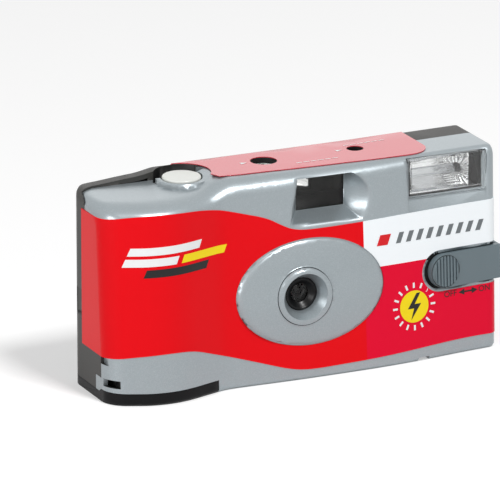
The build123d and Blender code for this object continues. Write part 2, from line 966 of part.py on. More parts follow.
# Sprocket, cam, rocker and counter
sprocket_x = -18.0
sprocket_y = 8.4
sprocket_radius = 6.05
sprocket_low = 37.7
sprocket_thickness = 1.9
tooth_count = 8
tooth_reach = 0.85
tooth_width = 1.2
tooth_root = 0.4
shaft_radius = 1.4
cam_low = 50.6
cam_radius = 3.6
cam_thickness = 1.3
cam_notch = 1.0
finger_low = 56.0
finger_thickness = 0.7
finger_reach = 1.9
finger_width = 0.8
counter_x = -8.4
counter_y = 7.4
counter_radius = 7.6
counter_low = 56.1
counter_thickness = 0.6
counter_teeth = 40
counter_tooth_depth = 0.45
counter_post_radius = 0.94
rocker_x = -25.5
rocker_z = 51.2
rocker_pin_radius = 0.6
rocker_hub_radius = 1.4
rocker_half_width = 1.4
rocker_arm_half = 0.9
rocker_arm_thickness = 0.9
rocker_bump_radius = 0.85
rocker_tip_gap = 0.2
ear_half = 1.4
ear_width = 1.2
spigot_radius = 0.8
spigot_height = 0.6

# Chassis: the black moulding that holds the film, the mechanism and the battery
with BuildPart() as chassis:
    add(
        upright(
            wheel_x,
            wheel_y,
            chamber_radius + chassis_wall,
            chamber_radius,
            cassette_low + fit_gap,
            left_deck_top,
        )
    )
    add(
        upright(
            roll_x,
            roll_y,
            roll_chamber_radius + chassis_wall,
            0,
            film_low - fit_gap - chassis_wall,
            deck_low,
        )
    )
    # Guide plate, rails, light box and decks
    add(
        block(
            (guide_left, guide_y, film_low - 2 * chassis_wall),
            (guide_right, guide_y + chassis_wall, deck_low),
        )
    )
    for rail_z in (film_low, film_top - rail_width):
        add(
            block(
                (guide_left + 2 * rail_width, guide_y, rail_z),
                (film_right - rail_width, film_front_y - face_gap, rail_z + rail_width),
            )
        )
    with BuildSketch(Plane.XZ.offset(-guide_y)):
        with Locations((lens_x, lens_z)):
            Rectangle(gate_width + 2 * box_wall, gate_height + 2 * box_wall)
    with BuildSketch(Plane.XZ.offset(-box_front_y - box_front_wall)):
        with Locations((lens_x, lens_z)):
            Rectangle(2 * box_front_half + 2 * box_wall, 2 * box_front_half + 2 * box_wall)
    loft(ruled=True)
    with BuildSketch(Plane.XZ.offset(-box_front_y)):
        with Locations((lens_x, lens_z)):
            Rectangle(
                2 * (box_front_half + box_wall + box_front_rim),
                2 * (box_front_half + box_wall + box_front_rim),
            )
    extrude(amount=-box_front_wall)
    add(
        block(
            (left_deck_right, mid_deck_front_y, deck_low), (half_width, guide_y + chassis_wall, deck_top)
        )
    )
    add(
        block(
            (-half_width, -overrun / 2, left_deck_low),
            (left_deck_right, guide_y - fit_gap, left_deck_top),
        )
    )
    add(
        block(
            (left_deck_right - chassis_wall, mid_deck_front_y, deck_low),
            (left_deck_right, guide_y + chassis_wall / 2, left_deck_top),
        )
    )
    add(
        upright(wheel_x, wheel_y, wheel_seat_outer, wheel_seat_inner, left_deck_low, wheel_low - run_gap)
    )
    # Bulkheads at the battery's ends
    for bulkhead_x in (
        battery_left - bulkhead - bulkhead_gap, battery_right + battery_nub + bulkhead_gap
    ):
        add(
            block(
                (bulkhead_x, battery_y - battery_radius, wall + fit_gap),
                (bulkhead_x + bulkhead, guide_y + chassis_wall, battery_z + battery_radius),
            )
        )
    # Ears and pin of the metering lever, and the spigot inside the button's spring
    for ear_y in (
        button_y - rocker_half_width - run_gap - ear_width, button_y + rocker_half_width + run_gap
    ):
        add(
            block(
                (rocker_x - ear_half, ear_y, left_deck_low),
                (rocker_x + ear_half, ear_y + ear_width, rocker_z + ear_half),
            )
        )
    add(
        along_y(
            rocker_x,
            rocker_z,
            rocker_pin_radius,
            0,
            button_y - rocker_half_width - ear_width,
            button_y + rocker_half_width + ear_width,
        )
    )
    add(upright(button_x, button_y, spigot_radius, 0, left_deck_low, left_deck_top + spigot_height))
    add(
        block((-half_width, -overrun, 0), (half_width, film_front_y - face_gap, body_height)),
        mode=Mode.INTERSECT,
    )
    add(inner_room, mode=Mode.INTERSECT)
    # Cavities: light box, gate, aperture, cassette, film roll and hub
    with BuildSketch(Plane.XZ.offset(-guide_y)):
        with Locations((lens_x, lens_z)):
            Rectangle(gate_width, gate_height)
    with BuildSketch(Plane.XZ.offset(-box_front_y - box_front_wall)):
        with Locations((lens_x, lens_z)):
            Rectangle(2 * box_front_half, 2 * box_front_half)
    loft(ruled=True, mode=Mode.SUBTRACT)
    with BuildSketch(Plane.XZ.offset(-guide_y - chassis_wall)):
        with Locations((lens_x, lens_z)):
            Rectangle(gate_width, gate_height)
    extrude(amount=chassis_wall + face_gap, mode=Mode.SUBTRACT)
    add(
        along_y(
            lens_x,
            lens_z,
            box_front_half - box_wall,
            0,
            box_front_y - box_front_wall,
            box_front_y + 2 * box_front_wall,
        ),
        mode=Mode.SUBTRACT,
    )
    add(
        upright(wheel_x, wheel_y, chamber_radius, 0, -overrun, cassette_top + fit_gap),
        mode=Mode.SUBTRACT,
    )
    add(
        upright(roll_x, roll_y, roll_chamber_radius, 0, film_low - fit_gap, film_top + 4 * fit_gap),
        mode=Mode.SUBTRACT,
    )
    add(
        upright(
            wheel_x,
            wheel_y,
            hub_radius + fit_gap,
            0,
            left_deck_low - chassis_wall,
            left_deck_top + chassis_wall,
        ),
        mode=Mode.SUBTRACT,
    )
    add(upright(roll_x, roll_y, roll_pivot_radius + run_gap, 0, 0, body_height), mode=Mode.SUBTRACT)
    # The film's way out of both chambers, the sprocket's window and the bearings
    add(
        block(
            (wheel_x + cassette_radius / 2, cassette_radius - 2 * chassis_wall, film_low - fit_gap),
            (guide_left - fit_gap, rear_reach, film_top + fit_gap),
        ),
        mode=Mode.SUBTRACT,
    )
    add(
        block(
            (guide_right + fit_gap, roll_y + roll_chamber_radius / 2, film_low - fit_gap),
            (roll_x + fit_gap, rear_reach, film_top + fit_gap),
        ),
        mode=Mode.SUBTRACT,
    )
    add(
        block(
            (sprocket_x - sprocket_radius - tooth_reach - fit_gap, sprocket_y, sprocket_low - fit_gap),
            (
                sprocket_x + sprocket_radius + tooth_reach + fit_gap,
                rear_reach,
                sprocket_low + sprocket_thickness + fit_gap,
            ),
        ),
        mode=Mode.SUBTRACT,
    )
    add(
        upright(
            sprocket_x,
            sprocket_y,
            shaft_radius + run_gap,
            0,
            deck_low - chassis_wall,
            deck_top + chassis_wall,
        ),
        mode=Mode.SUBTRACT,
    )
    add(
        upright(
            counter_x,
            counter_y,
            counter_post_radius + run_gap,
            0,
            deck_low - chassis_wall,
            deck_top + chassis_wall,
        ),
        mode=Mode.SUBTRACT,
    )
    add(thumb_form(thumb_wall + seam_gap), mode=Mode.SUBTRACT)
chassis.part.label = "chassis"
export_step(chassis.part, "parts/chassis.step")

# Cassette shell: tube, two caps and the lips that the film leaves by
mouth_turn = math.atan2(film_front_y - mouth_y, film_left - mouth_x)
mouth_plane = Plane(
    origin=(mouth_x, mouth_y, film_low),
    x_dir=(math.cos(mouth_turn), math.sin(mouth_turn), 0),
    z_dir=(0, 0, 1),
)
with BuildPart() as cassette_shell:
    add(
        upright(
            wheel_x,
            wheel_y,
            cassette_radius,
            cassette_radius - cassette_wall,
            cassette_low,
            cassette_top,
        )
    )
    for cap_low in (cassette_low, cassette_top - cassette_cap):
        add(
            upright(
                wheel_x, wheel_y, cassette_radius, hub_radius + run_gap, cap_low, cap_low + cassette_cap
            )
        )
    with BuildSketch(mouth_plane):
        with Locations(((mouth_reach - mouth_back) / 2, 0)):
            Rectangle(mouth_reach + mouth_back, 2 * mouth_half)
    extrude(amount=film_height)
    with BuildSketch(mouth_plane):
        Rectangle(4 * mouth_reach, 2 * mouth_slot_half)
    extrude(amount=film_height, mode=Mode.SUBTRACT)
cassette_shell.part.label = "cassette_shell"
export_step(cassette_shell.part, "parts/cassette_shell.step")

# Cassette spool: core, flanges and the hub that shows at both ends
spool_low = cassette_low + cassette_cap + fit_gap
spool_top = cassette_top - cassette_cap - fit_gap
with BuildPart() as cassette_spool:
    add(upright(wheel_x, wheel_y, spool_core_radius, 0, spool_low, spool_top))
    add(upright(wheel_x, wheel_y, spool_flange_radius, 0, spool_low, spool_low + spool_flange))
    add(upright(wheel_x, wheel_y, spool_flange_radius, 0, spool_top - spool_flange, spool_top))
    add(upright(wheel_x, wheel_y, hub_radius, 0, hub_low, hub_top))
    add(upright(wheel_x, wheel_y, hub_bore, 0, hub_low - wall, hub_top + wall), mode=Mode.SUBTRACT)
cassette_spool.part.label = "cassette_spool"
export_step(cassette_spool.part, "parts/cassette_spool.step")

# Thumbwheel: knurled rim, dished top and the fork that turns the spool
knurl_count = 60
knurl_depth = 0.35
dish_radius = 9.5
dish_depth = 1.2
rim_points = [
    (
        (wheel_radius - knurl_depth * (index % 2)) * math.cos(math.pi * index / knurl_count),
        (wheel_radius - knurl_depth * (index % 2)) * math.sin(math.pi * index / knurl_count),
    )
    for index in range(2 * knurl_count)
]
with BuildPart() as thumbwheel:
    with BuildSketch(Plane(origin=(wheel_x, wheel_y, wheel_low))):
        with BuildLine():
            Polyline(*rim_points, close=True)
        make_face()
    extrude(amount=wheel_thickness)
    add(
        upright(
            wheel_x,
            wheel_y,
            dish_radius,
            fork_radius,
            wheel_low + wheel_thickness - dish_depth,
            body_height,
        ),
        mode=Mode.SUBTRACT,
    )
    add(
        upright(
            wheel_x, wheel_y, fork_radius, 0, wheel_low - fork_depth, wheel_low + wheel_thickness / 2
        )
    )
    with BuildSketch(Plane(origin=(wheel_x, wheel_y, wheel_low - fork_depth))):
        Rectangle(3 * fork_radius, fork_slot)
    extrude(amount=fork_depth, mode=Mode.SUBTRACT)
thumbwheel.part.label = "thumbwheel"
export_step(thumbwheel.part, "parts/thumbwheel.step")

# Film strip: from the cassette's lips along the guide plate and in over the roll
film_rear_y = film_front_y + film_thickness
film_end_y = roll_y + roll_radius + fit_gap
with BuildPart() as film_strip:
    add(
        prism(
            Plane.XY.offset(film_low),
            (
                (mouth_x, mouth_y - film_thickness / 2),
                (film_left, film_front_y),
                (film_right, film_front_y),
                (roll_x, film_end_y),
                (roll_x, film_end_y + film_thickness),
                (film_right, film_rear_y),
                (film_left, film_rear_y),
                (mouth_x, mouth_y + film_thickness / 2),
            ),
            film_height,
        )
    )
    first_hole = math.ceil((film_left - sprocket_x) / perforation_pitch)
    with BuildSketch(Plane.XZ.offset(-film_rear_y)):
        for row_z in (
            film_low + perforation_edge + perforation_height / 2,
            film_top - perforation_edge - perforation_height / 2,
        ):
            for index in range(first_hole, first_hole + perforation_count):
                with Locations((sprocket_x + index * perforation_pitch, row_z)):
                    Rectangle(perforation_length, perforation_height)
    extrude(amount=film_thickness, mode=Mode.SUBTRACT)
film_strip.part.label = "film_strip"
export_step(film_strip.part, "parts/film_strip.step")

# Film roll and the spool it comes off
with BuildPart() as film_roll:
    add(upright(roll_x, roll_y, roll_radius, roll_core_radius + run_gap, film_low, film_top))
film_roll.part.label = "film_roll"
export_step(film_roll.part, "parts/film_roll.step")
with BuildPart() as supply_spool:
    add(
        upright(
            roll_x,
            roll_y,
            roll_core_radius,
            0,
            film_low - fit_gap + run_gap,
            film_top + 4 * fit_gap - run_gap,
        )
    )
    add(
        upright(
            roll_x,
            roll_y,
            roll_pivot_radius,
            0,
            film_low - fit_gap - roll_pivot_depth,
            film_top + 4 * fit_gap + roll_pivot_depth,
        )
    )
supply_spool.part.label = "supply_spool"
export_step(supply_spool.part, "parts/supply_spool.step")

# Sprocket: toothed wheel, shaft up through the deck and the finger that steps the counter
with BuildPart() as sprocket:
    add(
        upright(
            sprocket_x, sprocket_y, sprocket_radius, 0, sprocket_low, sprocket_low + sprocket_thickness
        )
    )
    with BuildSketch(Plane(origin=(sprocket_x, sprocket_y, sprocket_low))):
        with PolarLocations(0, tooth_count, start_angle=90):
            with BuildLine():
                Polyline(
                    (sprocket_radius - tooth_root, -tooth_width / 2),
                    (sprocket_radius + tooth_reach, -tooth_width / 4),
                    (sprocket_radius + tooth_reach, tooth_width / 4),
                    (sprocket_radius - tooth_root, tooth_width / 2),
                    close=True,
                )
        make_face()
    extrude(amount=sprocket_thickness)
    add(upright(sprocket_x, sprocket_y, shaft_radius, 0, sprocket_low, finger_low + finger_thickness))
    add(
        block(
            (sprocket_x - finger_width / 2, sprocket_y - finger_reach, finger_low),
            (sprocket_x + finger_width / 2, sprocket_y, finger_low + finger_thickness),
        )
    )
sprocket.part.label = "sprocket"
export_step(sprocket.part, "parts/sprocket.step")

# Advance cam on the sprocket's shaft
with BuildPart() as advance_cam:
    add(
        upright(
            sprocket_x, sprocket_y, cam_radius, shaft_radius + run_gap, cam_low, cam_low + cam_thickness
        )
    )
    add(
        block(
            (sprocket_x - 2 * cam_radius, sprocket_y - cam_notch, cam_low - wall),
            (
                sprocket_x - cam_radius + cam_notch,
                sprocket_y + cam_notch,
                cam_low + cam_thickness + wall,
            ),
        ),
        mode=Mode.SUBTRACT,
    )
advance_cam.part.label = "advance_cam"
export_step(advance_cam.part, "parts/advance_cam.step")

# Counter disc with fine teeth and a long post in the deck
counter_points = [
    (
        (counter_radius - counter_tooth_depth * (index % 2)) * math.cos(math.pi * index / counter_teeth),
        (counter_radius - counter_tooth_depth * (index % 2)) * math.sin(math.pi * index / counter_teeth),
    )
    for index in range(2 * counter_teeth)
]
with BuildPart() as counter_disc:
    with BuildSketch(Plane(origin=(counter_x, counter_y, counter_low))):
        with BuildLine():
            Polyline(*counter_points, close=True)
        make_face()
    extrude(amount=counter_thickness)
    add(upright(counter_x, counter_y, counter_post_radius, 0, deck_low, counter_low))
    add(upright(counter_x, counter_y, 2 * counter_post_radius, 0, deck_top + run_gap, counter_low))
counter_disc.part.label = "counter_disc"
export_step(counter_disc.part, "parts/counter_disc.step")

# Shutter button: a disc with a soft edge on a stem
button_edge = 0.5
stem_low = rocker_z + rocker_bump_radius + face_gap
with BuildPart() as shutter_button:
    with BuildSketch(Plane.XZ):
        with BuildLine():
            Polyline(
                (button_radius - button_edge, button_top),
                (0, button_top),
                (0, stem_low),
                (stem_radius, stem_low),
                (stem_radius, button_top - button_thickness),
                (button_radius, button_top - button_thickness),
                (button_radius, button_top - button_edge),
            )
            RadiusArc(
                (button_radius, button_top - button_edge),
                (button_radius - button_edge, button_top),
                -button_edge,
            )
        make_face()
    revolve(axis=Axis.Z)
shutter_button.part.locate(Location((button_x, button_y, 0)))
shutter_button.part.label = "shutter_button"
export_step(shutter_button.part, "parts/shutter_button.step")

# Metering lever: a rocker under the stem, with its tip beside the advance cam
with BuildPart() as metering_lever:
    add(
        along_y(
            rocker_x,
            rocker_z,
            rocker_hub_radius,
            0,
            button_y - rocker_half_width,
            button_y + rocker_half_width,
        )
    )
    add(
        along_y(
            button_x,
            rocker_z,
            rocker_bump_radius,
            0,
            button_y - rocker_arm_half,
            button_y + rocker_arm_half,
        )
    )
    add(
        block(
            (button_x, button_y - rocker_arm_half, rocker_z - rocker_arm_thickness / 2),
            (
                sprocket_x - cam_radius - rocker_tip_gap,
                button_y + rocker_arm_half,
                rocker_z + rocker_arm_thickness / 2,
            ),
        )
    )
    add(
        along_y(
            rocker_x,
            rocker_z,
            rocker_pin_radius + run_gap,
            0,
            button_y - 2 * rocker_half_width,
            button_y + 2 * rocker_half_width,
        ),
        mode=Mode.SUBTRACT,
    )
metering_lever.part.label = "metering_lever"
export_step(metering_lever.part, "parts/metering_lever.step")


def coil(origin, coil_radius, wire_radius, length, turns):
    """A round-wire coil that rises from origin."""
    with BuildPart() as spring:
        with BuildLine():
            Helix(pitch=length / turns, height=length, radius=coil_radius)
        with BuildSketch(Plane(origin=(coil_radius, 0, 0), x_dir=(1, 0, 0), z_dir=(0, 1, 0))):
            Circle(wire_radius)
        sweep(is_frenet=True)
    return Location(origin) * spring.part


# Return spring under the rocker's bump
button_spring_radius = 1.15
button_wire_radius = 0.13
button_spring_turns = 3
button_spring_length = rocker_z - rocker_bump_radius - left_deck_top - 2 * button_wire_radius - 2 * face_gap
with BuildPart() as button_spring:
    add(
        coil(
            (button_x, button_y, left_deck_top + button_wire_radius + face_gap),
            button_spring_radius,
            button_wire_radius,
            button_spring_length,
            button_spring_turns,
        )
    )
button_spring.part.label = "button_spring"
export_step(button_spring.part, "parts/button_spring.step")

# Shutter plate with its aperture, pivot pins, spring pegs and the pegs that seat it on the light box
plate_front_y = -6.6
plate_thickness = 1.0
plate_rear_y = plate_front_y + plate_thickness
plate_left = -17.0
plate_right = 10.0
plate_low = 16.8
plate_high = 38.0
aperture_radius = 1.4
blade_x = -9.5
blade_z = 30.0
pin_radius = 0.6
pin_end_y = -4.75
peg_radius = 0.7
seat_places = ((4.2, 30.5), (4.2, 18.5), (-1.0, 30.8))
striker_x = -15.0
striker_z = 36.0
blade_peg = (-11.6, 20.5)
striker_peg = (-13.4, 26.5)
spring_peg_radius = 0.3
with BuildPart() as shutter_plate:
    add(block((plate_left, plate_front_y, plate_low), (plate_right, plate_rear_y, plate_high)))
    add(
        along_y(lens_x, lens_z, aperture_radius, 0, plate_front_y - wall, plate_rear_y + wall),
        mode=Mode.SUBTRACT,
    )
    for seat_x, seat_z in seat_places:
        add(along_y(seat_x, seat_z, peg_radius, 0, plate_front_y, box_front_y - face_gap / 2))
    for pivot_x, pivot_z in ((blade_x, blade_z), (striker_x, striker_z)):
        add(along_y(pivot_x, pivot_z, pin_radius, 0, plate_front_y, pin_end_y))
    for peg_x, peg_z in (blade_peg, striker_peg):
        add(along_y(peg_x, peg_z, spring_peg_radius, 0, plate_front_y, pin_end_y))
shutter_plate.part.label = "shutter_plate"
export_step(shutter_plate.part, "parts/shutter_plate.step")

# Lens holder: a black cup with stepped rings, and the taking lens inside it
holder_front_y = -9.5
holder_radius = 4.75
holder_steps = ((3.9, -9.5), (3.2, -8.9), (2.5, -8.4))
holder_lip = 0.5
holder_flange_radius = 6.0
holder_flange_y = -7.35
lens_radius = 3.2
lens_front_y = -7.95
lens_rear_y = -6.75
lens_bulge = 0.45
lens_curve = (lens_radius**2 + lens_bulge**2) / (2 * lens_bulge)
with BuildPart() as lens_holder:
    add(along_y(lens_x, lens_z, holder_radius, 0, holder_front_y, plate_front_y - face_gap))
    add(along_y(lens_x, lens_z, holder_flange_radius, 0, holder_flange_y, plate_front_y - face_gap))
    for step_radius, step_y in holder_steps:
        add(along_y(lens_x, lens_z, step_radius, 0, step_y, plate_front_y), mode=Mode.SUBTRACT)
        if step_radius > holder_steps[-1][0]:
            lip_radius = step_radius - holder_lip
            add(
                along_y(
                    lens_x,
                    lens_z,
                    holder_radius,
                    lip_radius,
                    step_y + holder_lip,
                    plate_front_y - face_gap,
                )
            )
    add(
        along_y(lens_x, lens_z, lens_radius + face_gap, 0, lens_front_y - face_gap, plate_front_y),
        mode=Mode.SUBTRACT,
    )
lens_holder.part.label = "lens_holder"
export_step(lens_holder.part, "parts/lens_holder.step")
with BuildPart() as taking_lens:
    with BuildSketch(Plane.XY):
        with BuildLine():
            Line((0, lens_front_y), (0, lens_rear_y))
            Line((0, lens_rear_y), (lens_radius, lens_rear_y))
            Line((lens_radius, lens_rear_y), (lens_radius, lens_front_y + lens_bulge))
            RadiusArc((lens_radius, lens_front_y + lens_bulge), (0, lens_front_y), lens_curve)
        make_face()
    revolve(axis=Axis.Y)
taking_lens.part.locate(Location((lens_x, 0, lens_z)))
taking_lens.part.label = "taking_lens"
export_step(taking_lens.part, "parts/taking_lens.step")

# Shutter blade: disc over the aperture, the tab that is struck and the spring's ear
blade_front_y = -5.4
blade_thickness = 0.35
blade_disc_radius = 3.2
blade_arm = 1.8
blade_hub_radius = 1.3
blade_tab = (-6.0, 33.0)
blade_tab_radius = 0.8
blade_ear = (-11.6, 29.2)
blade_ear_radius = 0.7


def arm_sketch(start, end, width):
    """A straight arm between two places, drawn in X and Z."""
    middle = ((start[0] + end[0]) / 2, (start[1] + end[1]) / 2)
    turn = math.degrees(math.atan2(end[1] - start[1], end[0] - start[0]))
    with BuildSketch(mode=Mode.PRIVATE) as arm:
        with Locations(Location((middle[0], middle[1], 0), (0, 0, turn))):
            Rectangle(math.dist(start, end), width)
    return arm.sketch


with BuildPart() as shutter_blade:
    with BuildSketch(Plane.XZ.offset(-blade_front_y - blade_thickness)):
        with Locations((lens_x, lens_z)):
            Circle(blade_disc_radius)
        with Locations((blade_x, blade_z)):
            Circle(blade_hub_radius)
        with Locations(blade_tab):
            Circle(blade_tab_radius)
        with Locations(blade_ear):
            Circle(blade_ear_radius)
        add(arm_sketch((blade_x, blade_z), (lens_x, lens_z), blade_arm))
        add(arm_sketch((blade_x, blade_z), blade_tab, blade_tab_radius * 2))
        add(arm_sketch((blade_x, blade_z), blade_ear, blade_ear_radius * 2))
        with Locations((blade_x, blade_z)):
            Circle(pin_radius + run_gap, mode=Mode.SUBTRACT)
    extrude(amount=blade_thickness)
shutter_blade.part.label = "shutter_blade"
export_step(shutter_blade.part, "parts/shutter_blade.step")

# Striker lever above the blade's tab
striker_front_y = -5.5
striker_thickness = 0.6
striker_tip = (-6.0, 34.9)
striker_tip_radius = 0.75
striker_hub_radius = 1.5
striker_ear = (-13.4, 34.9)
with BuildPart() as striker_lever:
    with BuildSketch(Plane.XZ.offset(-striker_front_y - striker_thickness)):
        with Locations((striker_x, striker_z)):
            Circle(striker_hub_radius)
        with Locations(striker_tip):
            Circle(striker_tip_radius)
        with Locations(striker_ear):
            Circle(blade_ear_radius)
        add(arm_sketch((striker_x, striker_z), striker_tip, striker_tip_radius * 2))
        with Locations((striker_x, striker_z)):
            Circle(pin_radius + run_gap, mode=Mode.SUBTRACT)
    extrude(amount=striker_thickness)
striker_lever.part.label = "striker_lever"
export_step(striker_lever.part, "parts/striker_lever.step")

# Fine return springs of the blade and the striker
fine_spring_radius = 0.33
fine_wire_radius = 0.07
fine_spring_turns = 10
fine_spring_y = (plate_rear_y + pin_end_y) / 2
fine_spring_ends = blade_ear_radius + spring_peg_radius + 2 * fine_wire_radius + 2 * face_gap
with BuildPart() as blade_spring:
    add(
        coil(
            (
                blade_peg[0],
                fine_spring_y,
                blade_peg[1] + spring_peg_radius + fine_wire_radius + face_gap,
            ),
            fine_spring_radius,
            fine_wire_radius,
            blade_ear[1] - blade_peg[1] - fine_spring_ends,
            fine_spring_turns,
        )
    )
blade_spring.part.label = "blade_spring"
export_step(blade_spring.part, "parts/blade_spring.step")
with BuildPart() as striker_spring:
    add(
        coil(
            (
                striker_peg[0],
                fine_spring_y,
                striker_peg[1] + spring_peg_radius + fine_wire_radius + face_gap,
            ),
            fine_spring_radius,
            fine_wire_radius,
            striker_ear[1] - striker_peg[1] - fine_spring_ends,
            fine_spring_turns,
        )
    )
striker_spring.part.label = "striker_spring"
export_step(striker_spring.part, "parts/striker_spring.step")

# Viewfinder lenses: a hollowed front lens behind the window and a rear lens in the eyepiece
finder_lens_margin = 0.8
finder_lens_low = 45.6
finder_lens_thickness = 1.1
finder_dish_radius = 40.0
finder_dish_depth = 0.4
rear_lens_low = 47.0
rear_lens_thickness = 1.1
rear_lens_step = 1.0
finder_lens_y = finder_y + face_gap
finder_mid_x = (finder_left + finder_right) / 2
finder_mid_z = (finder_low + finder_high) / 2
with BuildPart() as viewfinder_front_lens:
    add(
        block(
            (finder_left - finder_lens_margin, finder_lens_y, finder_lens_low),
            (
                finder_right + finder_lens_margin,
                finder_lens_y + finder_lens_thickness,
                finder_high + finder_lens_margin / 2,
            ),
        )
    )
    with Locations((finder_mid_x, finder_lens_y - finder_dish_radius + finder_dish_depth, finder_mid_z)):
        Sphere(finder_dish_radius, mode=Mode.SUBTRACT)
viewfinder_front_lens.part.label = "viewfinder_front_lens"
export_step(viewfinder_front_lens.part, "parts/viewfinder_front_lens.step")
rear_lens_y = rear_reach - wall - face_gap
with BuildPart() as viewfinder_rear_lens:
    add(
        block(
            (eyepiece_left - finder_lens_margin, rear_lens_y - rear_lens_thickness, rear_lens_low),
            (eyepiece_right + finder_lens_margin, rear_lens_y, eyepiece_high + finder_lens_margin),
        )
    )
    add(
        block(
            (eyepiece_left + face_gap, rear_lens_y, eyepiece_low + face_gap),
            (eyepiece_right - face_gap, rear_lens_y + rear_lens_step, eyepiece_high - face_gap),
        )
    )
viewfinder_rear_lens.part.label = "viewfinder_rear_lens"
export_step(viewfinder_rear_lens.part, "parts/viewfinder_rear_lens.step")

# Flash window: a clear plate with a raised frame that follows the soft top edge
window_margin = 0.2
window_thickness = 0.55
window_frame = 0.4
window_frame_width = 1.3
with BuildPart() as flash_window:
    add(
        block(
            (
                flash_left + window_margin,
                flash_y - face_gap - window_thickness - window_frame,
                flash_low + window_margin,
            ),
            (flash_right - window_margin, flash_y - face_gap, flash_high - window_margin),
        )
    )
    add(
        block(
            (
                flash_left + window_margin + window_frame_width,
                flash_y - overrun,
                flash_low + window_margin + window_frame_width,
            ),
            (
                flash_right - window_margin - window_frame_width,
                flash_y - face_gap - window_thickness,
                flash_high - window_margin - window_frame_width,
            ),
        ),
        mode=Mode.SUBTRACT,
    )
    add(
        block(
            (
                flash_left + flash_wall + window_margin,
                flash_y - face_gap,
                flash_low + flash_wall / 2 + window_margin,
            ),
            (
                flash_right - flash_wall - window_margin,
                flash_y + flash_wall / 2,
                flash_high - flash_wall / 2 - window_margin,
            ),
        )
    )
    add(front_skin, mode=Mode.INTERSECT)
flash_window.part.label = "flash_window"
export_step(flash_window.part, "parts/flash_window.step")

# Flash reflector: a trough behind the window with slanted ends
reflector_wall = 0.35
reflector_half = 4.6
reflector_depth = 7.6
reflector_z = (flash_low + flash_high) / 2
reflector_front_y = flash_y + flash_wall + face_gap
reflector_left = flash_left + flash_wall + fit_gap
reflector_right = 52.4
reflector_slant = 5.0
tube_y = -0.5
flash_tube_radius = 1.3


def trough_points(grow):
    """Half outlines of the trough in Y and Z, moved out by grow."""
    rise = 8
    return [
        (
            reflector_front_y + (reflector_depth + grow) * (1 - (step / rise) ** 2),
            reflector_z + (reflector_half + grow) * step / rise,
        )
        for step in range(-rise, rise + 1)
    ]


def trough_form(grow):
    """The trough's space between its slanted ends, moved out by grow."""
    points = trough_points(grow)
    rear_y = reflector_front_y + reflector_depth
    with BuildPart() as form:
        with BuildSketch(Plane.YZ.offset(reflector_left)):
            with BuildLine():
                Spline(*points)
                Line(points[-1], points[0])
            make_face()
        extrude(amount=reflector_right - reflector_left)
        ends = (
            (reflector_left + reflector_wall - grow, reflector_front_y - wall),
            (reflector_left + reflector_wall - grow, reflector_front_y),
            (reflector_left + reflector_slant - grow, rear_y + wall),
            (reflector_right - reflector_slant + grow, rear_y + wall),
            (reflector_right - reflector_wall + grow, reflector_front_y),
            (reflector_right - reflector_wall + grow, reflector_front_y - wall),
        )
        add(prism(Plane.XY, ends, body_height), mode=Mode.INTERSECT)
    return form.part


with BuildPart() as flash_reflector:
    add(trough_form(reflector_wall))
    add(trough_form(0), mode=Mode.SUBTRACT)
    add(
        along_x(
            tube_y,
            reflector_z,
            flash_tube_radius + seam_gap,
            0,
            reflector_left - wall,
            reflector_right + wall,
        ),
        mode=Mode.SUBTRACT,
    )
flash_reflector.part.label = "flash_reflector"
export_step(flash_reflector.part, "parts/flash_reflector.step")

# Flash tube through the trough's ends
electrode_radius = 0.6
electrode_reach = 1.0
with BuildPart() as flash_tube:
    add(
        along_x(
            tube_y,
            reflector_z,
            flash_tube_radius,
            0,
            reflector_left - reflector_wall,
            reflector_right + reflector_wall,
        )
    )
    add(
        along_x(
            tube_y,
            reflector_z,
            electrode_radius,
            0,
            reflector_left - electrode_reach,
            reflector_right + electrode_reach,
        )
    )
flash_tube.part.label = "flash_tube"
export_step(flash_tube.part, "parts/flash_tube.step")

# Flash circuit: board, capacitor, transformer and ready lamp
board_left = 13.0
board_right = 42.0
board_low = 17.0
board_high = 43.6
board_front_y = -4.9
board_thickness = 1.0
board_rear_y = board_front_y + board_thickness
capacitor_x = 27.0
capacitor_radius = 4.3
capacitor_low = 17.5
capacitor_high = 43.5
transformer_left = 14.0
transformer_width = 6.5
transformer_low = 30.0
transformer_height = 12.0
transformer_depth = 6.8
core_margin = 0.8
lamp_radius = 1.9
lamp_low = 51.0
lamp_shoulder = 55.6
lamp_leg_radius = 0.3
lamp_leg_half = 1.0
with BuildPart() as flash_board:
    add(block((board_left, board_front_y, board_low), (board_right, board_rear_y, board_high)))
flash_board.part.label = "flash_board"
export_step(flash_board.part, "parts/flash_board.step")
with BuildPart() as flash_capacitor:
    add(
        upright(
            capacitor_x,
            board_rear_y + face_gap + capacitor_radius,
            capacitor_radius,
            0,
            capacitor_low,
            capacitor_high,
        )
    )
    add(
        upright(
            capacitor_x,
            board_rear_y + face_gap + capacitor_radius,
            capacitor_radius + wall,
            capacitor_radius - fit_gap,
            capacitor_high - 2 * fit_gap,
            capacitor_high - fit_gap,
        ),
        mode=Mode.SUBTRACT,
    )
flash_capacitor.part.label = "flash_capacitor"
export_step(flash_capacitor.part, "parts/flash_capacitor.step")
with BuildPart() as flash_transformer:
    add(
        block(
            (transformer_left, board_rear_y + face_gap, transformer_low),
            (
                transformer_left + transformer_width,
                board_rear_y + face_gap + transformer_depth,
                transformer_low + core_margin,
            ),
        )
    )
    add(
        block(
            (
                transformer_left,
                board_rear_y + face_gap,
                transformer_low + transformer_height - core_margin,
            ),
            (
                transformer_left + transformer_width,
                board_rear_y + face_gap + transformer_depth,
                transformer_low + transformer_height,
            ),
        )
    )
    add(
        block(
            (
                transformer_left + core_margin / 2,
                board_rear_y + face_gap + core_margin / 2,
                transformer_low,
            ),
            (
                transformer_left + transformer_width - core_margin / 2,
                board_rear_y + face_gap + transformer_depth - core_margin / 2,
                transformer_low + transformer_height,
            ),
        )
    )
flash_transformer.part.label = "flash_transformer"
